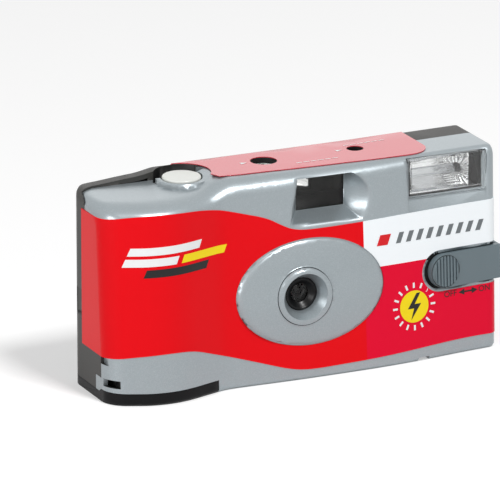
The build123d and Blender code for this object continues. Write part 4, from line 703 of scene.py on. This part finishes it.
surface = add_node(
    tree, "ShaderNodeBsdfPrincipled", sockets={"Metallic": 0.7},
    links={"Base Color": colours.outputs[0], "Roughness": gloss.outputs[0]},
)
add_node(tree, "ShaderNodeOutputMaterial", links={"Surface": surface.outputs[0]})
dress("battery", battery_jacket)
# Brass: warm yellow metal
brass = metal("stamped_brass", "C7A04C", 0.3, 0.8)
for node in ("battery_contact_negative", "battery_contact_positive", "switch_contact"):
    dress(node, brass)

# Flash circuit
# A brown phenolic board carries the big capacitor and the transformer. A neon
# lamp stands on it and shows through the small hole in the top.

# Phenolic board: resin brown with dull copper tracks
track_spacing_mm = 4.0
track_share = 0.09
board_resin, tree = new_finish("phenolic_board")
place = add_node(tree, "ShaderNodeTexCoord")
tracks = add_node(
    tree, "ShaderNodeTexVoronoi", {"feature": "DISTANCE_TO_EDGE", "distance": "CHEBYCHEV"},
    {"Scale": 1 / (track_spacing_mm * MM)}, {"Vector": place.outputs["Object"]},
)
track_edge = add_node(
    tree, "ShaderNodeMath", {"operation": "LESS_THAN"}, {1: track_share}, {0: tracks.outputs["Distance"]}
)
shade = add_node(
    tree, "ShaderNodeMix", {"data_type": "RGBA"}, {6: linear("8A5A2C"), 7: linear("B8743C")},
    {0: track_edge.outputs[0]},
)
relief = add_node(
    tree, "ShaderNodeBump", sockets={"Strength": 0.5, "Distance": 0.04 * MM},
    links={"Height": track_edge.outputs[0]},
)
surface = add_node(
    tree, "ShaderNodeBsdfPrincipled", sockets={"Roughness": 0.42},
    links={"Base Color": shade.outputs[2], "Normal": relief.outputs[0]},
)
add_node(tree, "ShaderNodeOutputMaterial", links={"Surface": surface.outputs[0]})
dress("flash_board", board_resin)
# Shrink sleeve: smooth black; ferrite: grey black and gritty; neon glass: orange glow tint
dress("flash_capacitor", moulded("shrink_sleeve_pvc", "17171C", 0.28, 4.0, 0.01))
dress("flash_transformer", moulded("ferrite_core", "1D1D1E", 0.6, 0.3, 0.04))
neon_glass = clear("neon_lamp_glass", "F4C8A0", 0.05, 1.5)
smooth_shell("ready_lamp", "camera_body", [neon_glass], even=False)

# Flash reflector and tube
# A bright formed-foil trough with slanted, fluted ends spreads the light of a
# glass tube that runs along it.

# Bright foil: nearly a mirror, softened by its rolling, with pressed flutes that
# fan out on its end walls
fan_y = middle("flash_tube").y * MM
fan_z = 51.4 * MM
flutes_per_radian = 18.0
flutes_start_x = 46.0 * MM
flutes_full_x = 48.5 * MM
foil_wear_mm = 9.0
bright_foil, tree = new_finish("bright_rolled_foil")
place = add_node(tree, "ShaderNodeTexCoord")
parts = add_node(tree, "ShaderNodeSeparateXYZ", links={0: place.outputs["Object"]})
across = add_node(tree, "ShaderNodeMath", {"operation": "SUBTRACT"}, {1: fan_z}, {0: parts.outputs["Z"]})
inward = add_node(tree, "ShaderNodeMath", {"operation": "SUBTRACT"}, {1: fan_y}, {0: parts.outputs["Y"]})
turn = add_node(
    tree, "ShaderNodeMath", {"operation": "ARCTAN2"}, links={0: across.outputs[0], 1: inward.outputs[0]}
)
count = add_node(
    tree, "ShaderNodeMath", {"operation": "MULTIPLY"}, {1: flutes_per_radian}, {0: turn.outputs[0]}
)
flute = add_node(tree, "ShaderNodeMath", {"operation": "SINE"}, links={0: count.outputs[0]})
at_end = add_node(
    tree, "ShaderNodeMapRange", sockets={"From Min": flutes_start_x, "From Max": flutes_full_x},
    links={"Value": parts.outputs["X"]},
)
fan = add_node(
    tree, "ShaderNodeMath", {"operation": "MULTIPLY"}, links={0: flute.outputs[0], 1: at_end.outputs[0]}
)
relief = add_node(tree, "ShaderNodeBump", sockets={"Distance": 0.25 * MM}, links={"Height": fan.outputs[0]})
wear = add_node(
    tree, "ShaderNodeTexNoise", sockets={"Scale": 1 / (foil_wear_mm * MM), "Detail": 2.0},
    links={"Vector": place.outputs["Object"]},
)
gloss = add_node(
    tree, "ShaderNodeMapRange", sockets={"To Min": 0.15, "To Max": 0.2}, links={"Value": wear.outputs["Fac"]}
)
surface = add_node(
    tree, "ShaderNodeBsdfPrincipled", sockets={"Base Color": linear("FBFBFB"), "Metallic": 1.0},
    links={"Roughness": gloss.outputs[0], "Normal": relief.outputs[0]},
)
add_node(tree, "ShaderNodeOutputMaterial", links={"Surface": surface.outputs[0]})
# Flash tube: clear hard glass
tube_glass = clear("flash_tube_glass", "D8DADC", 0.05, 1.47)
smooth_shell("flash_reflector", "camera_body", [bright_foil], 20)
smooth_shell("flash_tube", "camera_body", [tube_glass], 20)

# Flash window
# A clear acrylic plate with a raised frame, pressed into the front cover.

# Acrylic: water clear with a high gloss
acrylic = clear("clear_acrylic", "FBFCFC", 0.02, 1.49)
smooth_shell("flash_window", "camera_body", [acrylic], 20)

# Viewfinder lenses
# Two small coated acrylic lenses, one behind the scoop's window and one in the
# eyepiece.
smooth_shell("viewfinder_front_lens", "camera_body", [coated_acrylic], even=False)
smooth_shell("viewfinder_rear_lens", "camera_body", [coated_acrylic], even=False)

# Rear cover and film door
# A dark grey ABS shell closes the back. A black door under the cassette snaps
# into it and swings on two moulded stubs.
button_middle = middle("shutter_button")
well_radius = 8.3
well_wall_top = 56.0
deck_underside = 50.0
nearly_level = 0.9


def rear_face(centre, normal):
    """Painted shade: black inside the button's well, where the grey cover lies in shadow, and grey elsewhere.
    """
    beside = math.hypot(centre.x - button_middle.x, centre.y - button_middle.y)
    in_well = beside < well_radius and centre.z > deck_underside
    return 1 if in_well and (abs(normal.z) < nearly_level or centre.z < well_wall_top) else 0


# Dark grey ABS: warm grey with a fine spark texture
grey_abs = moulded("dark_grey_abs", "353432", 0.5, 0.35, 0.04, 0.4)
# The black faces in the button's well are painted shade on the grey cover
smooth_shell("rear_cover", "camera_body", [grey_abs, black_abs], pick=rear_face)
# The door's black ABS is smoother and deeper than the chassis
door_abs = moulded("black_abs_door", "0B0B0D", 0.4, 0.35, 0.03, 0.15)
smooth_shell("film_door", "door", [door_abs])

# Front cover
# The silver shell is ABS with metal flakes in the resin, so it has a satin
# sheen. It snaps to the rear cover at the tabs and the corner slot.

# The holes over the counter and the lamp stand in one row, in mm
hole_row = 8.2
top_holes = ((-5.1, 3.9), (23.1, 2.5))
# The two snap slots at the left corner: their heights and the place of their floor
slot_heights = ((4.8, 7.2), (10.9, 13.3))
slot_start = -57.0
slot_floor = -58.6
slot_back = -2.0
nearly_sideways = 0.95
# The switch's groove in the band, below the skin of the label over and under it
groove_start = 36.4
groove_middle = 25.1
groove_half = 5.6
groove_depth = 0.45
skin_above = 33.5
skin_below = 17.0
skin_end = 58.0
band_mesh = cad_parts["front_label"].data
band_skin = BVHTree.FromPolygons(
    [v.co.copy() for v in band_mesh.vertices], [tuple(p.vertices) for p in band_mesh.polygons]
)


def skin_y(x, z):
    """Where the printed band's front stands at a place, in mm."""
    along, away = press_ways["front"]
    hit = band_skin.ray_cast(Vector((x * MM, -away, z * MM)), along)[0]
    return hit.y / MM if hit else None


def front_face(centre, normal):
    """Black where the real cover opens to the dark inside or runs in shadow, silver elsewhere."""
    for hole_x, hole_radius in top_holes:
        beside = math.hypot(centre.x - hole_x, centre.y - hole_row)
        if beside < hole_radius and centre.z > deck_underside:
            return 1
    for slot_low, slot_high in slot_heights:
        if centre.x < slot_start and centre.y < slot_back and slot_low < centre.z < slot_high:
            if abs(normal.z) > nearly_level or abs(normal.x) > nearly_sideways and centre.x > slot_floor:
                return 1
    if centre.x > groove_start and abs(centre.z - groove_middle) < groove_half:
        above = skin_y(min(centre.x, skin_end), skin_above)
        below = skin_y(min(centre.x, skin_end), skin_below)
        if above is not None and below is not None and centre.y > (above + below) / 2 + groove_depth:
            return 1
    return 0


# Silver ABS: fine flakes, satin, faintly cloudy from the flow of the resin
flake_mm = 0.25
flow_mm = 22.0
silver_abs, tree = new_finish("silver_flake_abs")
place = add_node(tree, "ShaderNodeTexCoord")
flakes = add_node(
    tree, "ShaderNodeTexVoronoi", sockets={"Scale": 1 / (flake_mm * MM)},
    links={"Vector": place.outputs["Object"]},
)
flow = add_node(
    tree, "ShaderNodeTexNoise", sockets={"Scale": 1 / (flow_mm * MM), "Detail": 2.0},
    links={"Vector": place.outputs["Object"]},
)
sparkle = add_node(
    tree, "ShaderNodeMix", {"data_type": "RGBA"}, {6: linear("929B9F"), 7: linear("A4ACB0")},
    {0: flakes.outputs["Distance"]},
)
sheen_map = add_node(
    tree, "ShaderNodeMapRange", sockets={"To Min": 0.28, "To Max": 0.36}, links={"Value": flow.outputs["Fac"]}
)
relief = add_node(
    tree, "ShaderNodeBump", sockets={"Strength": 0.15, "Distance": 0.02 * MM},
    links={"Height": flakes.outputs["Distance"]},
)
surface = add_node(
    tree, "ShaderNodeBsdfPrincipled", sockets={"Metallic": 0.6},
    links={"Base Color": sparkle.outputs[2], "Roughness": sheen_map.outputs[0], "Normal": relief.outputs[0]},
)
add_node(tree, "ShaderNodeOutputMaterial", links={"Surface": surface.outputs[0]})
front_shell = smooth_shell(
    "front_cover", "camera_body", [silver_abs, black_abs], pick=front_face
)


def circle_points(centre, radius, steps):
    """Points round a circle, in mm."""
    points = []
    for k in range(steps):
        turned = 2 * math.pi * k / steps
        points.append((centre[0] + radius * math.cos(turned), centre[1] + radius * math.sin(turned)))
    return points


ring_steps = 64


def flat_ring(centre, radius, width):
    """A flat ring mesh, in mm."""
    rim = circle_points(centre, radius, ring_steps) + circle_points(centre, radius + width, ring_steps)
    following = [(k + 1) % ring_steps for k in range(ring_steps)]
    quads = [(k, following[k], ring_steps + following[k], ring_steps + k) for k in range(ring_steps)]
    mesh = bpy.data.meshes.new("ring")
    mesh.from_pydata([(x, y, 0.0) for x, y in rim], [], quads)
    return mesh


# Shadow line of the seam where the ring round the lens is set into the oval
seam_shadow = moulded("shadowed_seam", "3C4245", 0.6, 0.4, 0.01, 0.2)
seam_radius = 8.15
seam_width = 0.22
lens_middle = middle("taking_lens")
seam_ring = flat_ring((lens_middle.x, lens_middle.z), seam_radius, seam_width)
lay_print("lens_seam", [seam_ring], seam_shadow, front_shell, "front")

# Shutter button and flash switch
# The button is a gloss white ABS disc on a stem. The switch is a blue-grey ABS
# slider with a ribbed thumb pad that runs in the groove round the right end.
button_abs = moulded("gloss_white_abs", "DFE1DC", 0.3, 1.5, 0.01, 0.3)
switch_abs = moulded("blue_grey_abs", "66747A", 0.42, 0.5, 0.02)
smooth_shell("shutter_button", "button", [button_abs])
switch_shell = smooth_shell("flash_switch", "switch_slider", [switch_abs], 15)
# Painted shadow round the thumb pad, which is centred in the slider's round end
switch_low, switch_high = (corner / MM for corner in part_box("flash_switch"))
pad_middle = (switch_low.x + (switch_high.z - switch_low.z) / 2, (switch_low.z + switch_high.z) / 2)
pad_radius = 4.42
pad_shadow_width = 0.26
pad_ring = flat_ring(pad_middle, pad_radius, pad_shadow_width)
lay_print(
    "pad_painted_shadow", [pad_ring], seam_shadow, switch_shell, "front", "switch_slider"
)

# Labels
# Three printed film stickers: the band round the front and ends, red with a
# white panel at the right, the red strip on the top, and the pad on the back.

print_patch_mm = 1.5
print_darkest = 0.97
film_ripple_mm = 12.0


def printed_film(name, base, coat, panel=None):
    """Laminated print; coat is its film's gloss, panel is (left, low, lower colour, upper colour)."""
    material, tree = new_finish(name)
    place = add_node(tree, "ShaderNodeTexCoord")
    parts = add_node(tree, "ShaderNodeSeparateXYZ", links={0: place.outputs["Object"]})
    weight = add_node(
        tree, "ShaderNodeTexNoise", sockets={"Scale": 1 / (print_patch_mm * MM), "Detail": 3.0},
        links={"Vector": place.outputs["Object"]},
    )
    colour = add_node(
        tree, "ShaderNodeMix", {"data_type": "RGBA"}, {6: darker(base, print_darkest), 7: linear(base)},
        {0: weight.outputs["Fac"]},
    )
    if panel:
        beyond = add_node(
            tree, "ShaderNodeMath", {"operation": "GREATER_THAN"}, {1: panel[0] * MM}, {0: parts.outputs["X"]}
        )
        above = add_node(
            tree, "ShaderNodeMath", {"operation": "GREATER_THAN"}, {1: panel[1] * MM}, {0: parts.outputs["Z"]}
        )
        end = add_node(
            tree, "ShaderNodeMix", {"data_type": "RGBA"}, {6: linear(panel[2]), 7: linear(panel[3])},
            {0: above.outputs[0]},
        )
        colour = add_node(
            tree, "ShaderNodeMix", {"data_type": "RGBA"},
            links={0: beyond.outputs[0], 6: colour.outputs[2], 7: end.outputs[2]},
        )
    ripple = add_node(
        tree, "ShaderNodeTexNoise", sockets={"Scale": 1 / (film_ripple_mm * MM), "Detail": 1.0},
        links={"Vector": place.outputs["Object"]},
    )
    relief = add_node(
        tree, "ShaderNodeBump", sockets={"Strength": 0.06, "Distance": 0.02 * MM},
        links={"Height": ripple.outputs["Fac"]},
    )
    surface = add_node(
        tree, "ShaderNodeBsdfPrincipled",
        sockets={
            "Roughness": 0.3, "IOR": 1.5, "Specular IOR Level": 0.12,
            "Coat Weight": coat, "Coat Roughness": 0.1,
        },
        links={"Base Color": colour.outputs[2], "Normal": relief.outputs[0]},
    )
    add_node(tree, "ShaderNodeOutputMaterial", links={"Surface": surface.outputs[0]})
    return material


# Laminated print: strong even colour under a gloss film, with the white panel over the band's end
panel_left = 17.6
panel_low = 29.2
band_print = printed_film("laminated_band_print", "E50412", 0.0, (panel_left, panel_low, "E20430", "F4F9FC"))
# The top strip carries the band's red print; its colour here is painted darker, as shade, against the
# stronger light that falls on the top
top_print_painted_darker = printed_film("laminated_top_print", "C4082C", 0.85)
back_print = printed_film("laminated_back_print", "E8EAEA", 0.4)
front_label = smooth_shell("front_label", "camera_body", [band_print])
top_label = smooth_shell("top_label", "camera_body", [top_print_painted_darker])
back_label = smooth_shell("back_label", "camera_body", [back_print])

# Inks: white, yellow, grey and red, with the black of the counter
white_ink = ink("white_print_ink", "EDEFEF")
yellow_ink = ink("yellow_print_ink", "F6DC08")
grey_ink = ink("grey_print_ink", "6E7477")
red_ink = ink("red_print_ink", "D8141E")


def flat_shape(points):
    """A flat mesh of one outline, in mm."""
    mesh = bpy.data.meshes.new("outline")
    mesh.from_pydata([(x, y, 0.0) for x, y in points], [], [tuple(range(len(points)))])
    return mesh


def slanted_bar(left, right, low, height, slant=0.0):
    """A flat bar that leans to the right, in mm."""
    high = low + height
    return flat_shape(((left, low), (right, low), (right + slant, high), (left + slant, high)))


# Plain stripes at the left of the band, in three rows from below, and the sign's yellow disc
stripe_low = 36.2
stripe_pitch = 3.1
stripe_height = 2.2
stripe_slant = 1.0
sign_middle = (33.0, 16.2)
sign_radius = 4.6
sign_steps = 48
stripes = []
for row, starts, ends in ((2, -54.6, -33.2), (1, -56.0, -41.0), (1, -39.4, -24.8), (0, -50.6, -31.0)):
    row_low = stripe_low + row * stripe_pitch
    stripes.append(slanted_bar(starts, ends, row_low, stripe_height, stripe_slant))
top_white, middle_white, middle_yellow, low_black = stripes
sign_disc = flat_shape(circle_points(sign_middle, sign_radius, sign_steps))
lay_print("band_white_stripes", [top_white, middle_white], white_ink, front_label, "front")
lay_print("band_yellow_stripe", [middle_yellow, sign_disc], yellow_ink, front_label, "front")
lay_print("band_black_stripe", [low_black], black_ink, front_label, "front")

# A plain lightning bolt in the yellow disc with short white rays, the common sign for a flash
bolt_lift = 0.09
bolt_corners = ((0.8, 3.8), (-2.1, -0.5), (-0.1, -0.5), (-1.1, -3.8), (2.2, 0.7), (0.1, 0.7), (2.0, 3.8))
bolt = flat_shape([(sign_middle[0] + x, sign_middle[1] + y) for x, y in bolt_corners])
lay_print("flash_sign_bolt", [bolt], black_ink, front_label, "front", lift=bolt_lift)
ray_reach = 6.1
rays = grown(
    "flash_rays", bar_ring, {"Count": 16, "Spacing": ray_reach, "Width": 0.6, "Height": 1.5, "Slant": 0.0},
    white_ink,
)
rays.transform(Matrix.Translation((*sign_middle, 0.0)))
lay_print("flash_sign_rays", [rays], white_ink, front_label, "front")

# A row of slanted grey bars on the white panel, with one red bar in front
bar_level = 36.6
bar_height = 3.0
bar_slant = 1.2
first_grey_bar = 29.0
bar_row = bar_tree("row_of_bars", False)
panel_bars = grown(
    "panel_bars", bar_row,
    {"Count": 9, "Spacing": 3.2, "Width": 1.5, "Height": bar_height, "Slant": bar_slant}, grey_ink,
)
panel_bars.transform(Matrix.Translation((first_grey_bar, bar_level, 0.0)))
lay_print("panel_bars", [panel_bars], grey_ink, front_label, "front")
red_bar = slanted_bar(21.6, 25.0, bar_level - bar_height / 2, bar_height, bar_slant)
lay_print("panel_red_bar", [red_bar], red_ink, front_label, "front")


def flat_arrow(left, right, level, head, head_half, shaft_half, double=False):
    """A flat arrow that points left, or both ways, in mm; head is the length of its head."""
    upper = [(left, level), (left + head, level + head_half), (left + head, level + shaft_half)]
    if double:
        upper += [(right - head, level + shaft_half), (right - head, level + head_half), (right, level)]
    else:
        upper += [(right, level + shaft_half)]
    lower = [(x, 2 * level - y) for x, y in reversed(upper) if y != level]
    return flat_shape(upper + lower)


# The switch's two places and a double arrow between them
marks_level = 17.9
letter_height = 1.75
switch_arrow = flat_arrow(47.6, 53.8, marks_level, head=1.9, head_half=0.9, shaft_half=0.22, double=True)
off_mark = flat_text("OFF", letter_height, (44.9, marks_level))
on_mark = flat_text("ON", letter_height, (56.0, marks_level))
lay_print("switch_marks", [off_mark, on_mark, switch_arrow], black_ink, front_label, "front")

# Two small pointers on the top strip, at the counter and at the lamp
pointers = []
for tip, length, half in ((-10.2, 2.0, 0.8), (19.0, 1.8, 0.7)):
    base = tip - length
    pointers.append(flat_shape(((base, hole_row - half), (tip, hole_row), (base, hole_row + half))))
lay_print("top_pointers", pointers, white_ink, top_label, "top")

# Two rows of short lines on the top strip
left_lines_start = (3.0, 2.2)
right_lines_shift = (19.0, 9.6)
top_lines = grown(
    "top_lines", bar_row, {"Count": 6, "Spacing": 2.2, "Width": 1.7, "Height": 0.35, "Slant": 0.0}, white_ink
)
top_lines.transform(Matrix.Translation((*left_lines_start, 0.0)))
right_lines = top_lines.copy()
right_lines.transform(Matrix.Translation((*right_lines_shift, 0.0)))
lay_print("top_lines", [top_lines, right_lines], white_ink, top_label, "top")

# Three empty frames and a winding arrow on the back
frame_side = 22.0
frame_low = 10.0
line_width = 0.4
upright = frame_side - 2 * line_width
frame_lines = []
for frame_left in (-30.0, -4.0, 22.0):
    frame_right = frame_left + frame_side
    for line_low in (frame_low, frame_low + frame_side - line_width):
        frame_lines.append(slanted_bar(frame_left, frame_right, line_low, line_width))
    for line_left in (frame_left, frame_right - line_width):
        line_right = line_left + line_width
        frame_lines.append(slanted_bar(line_left, line_right, frame_low + line_width, upright))
lay_print("back_frames", frame_lines, grey_ink, back_label, "rear")
winding_arrow = flat_arrow(-31.0, 44.0, level=38.0, head=4.0, head_half=2.6, shaft_half=0.9)
lay_print("back_arrow", [winding_arrow], red_ink, back_label, "rear")
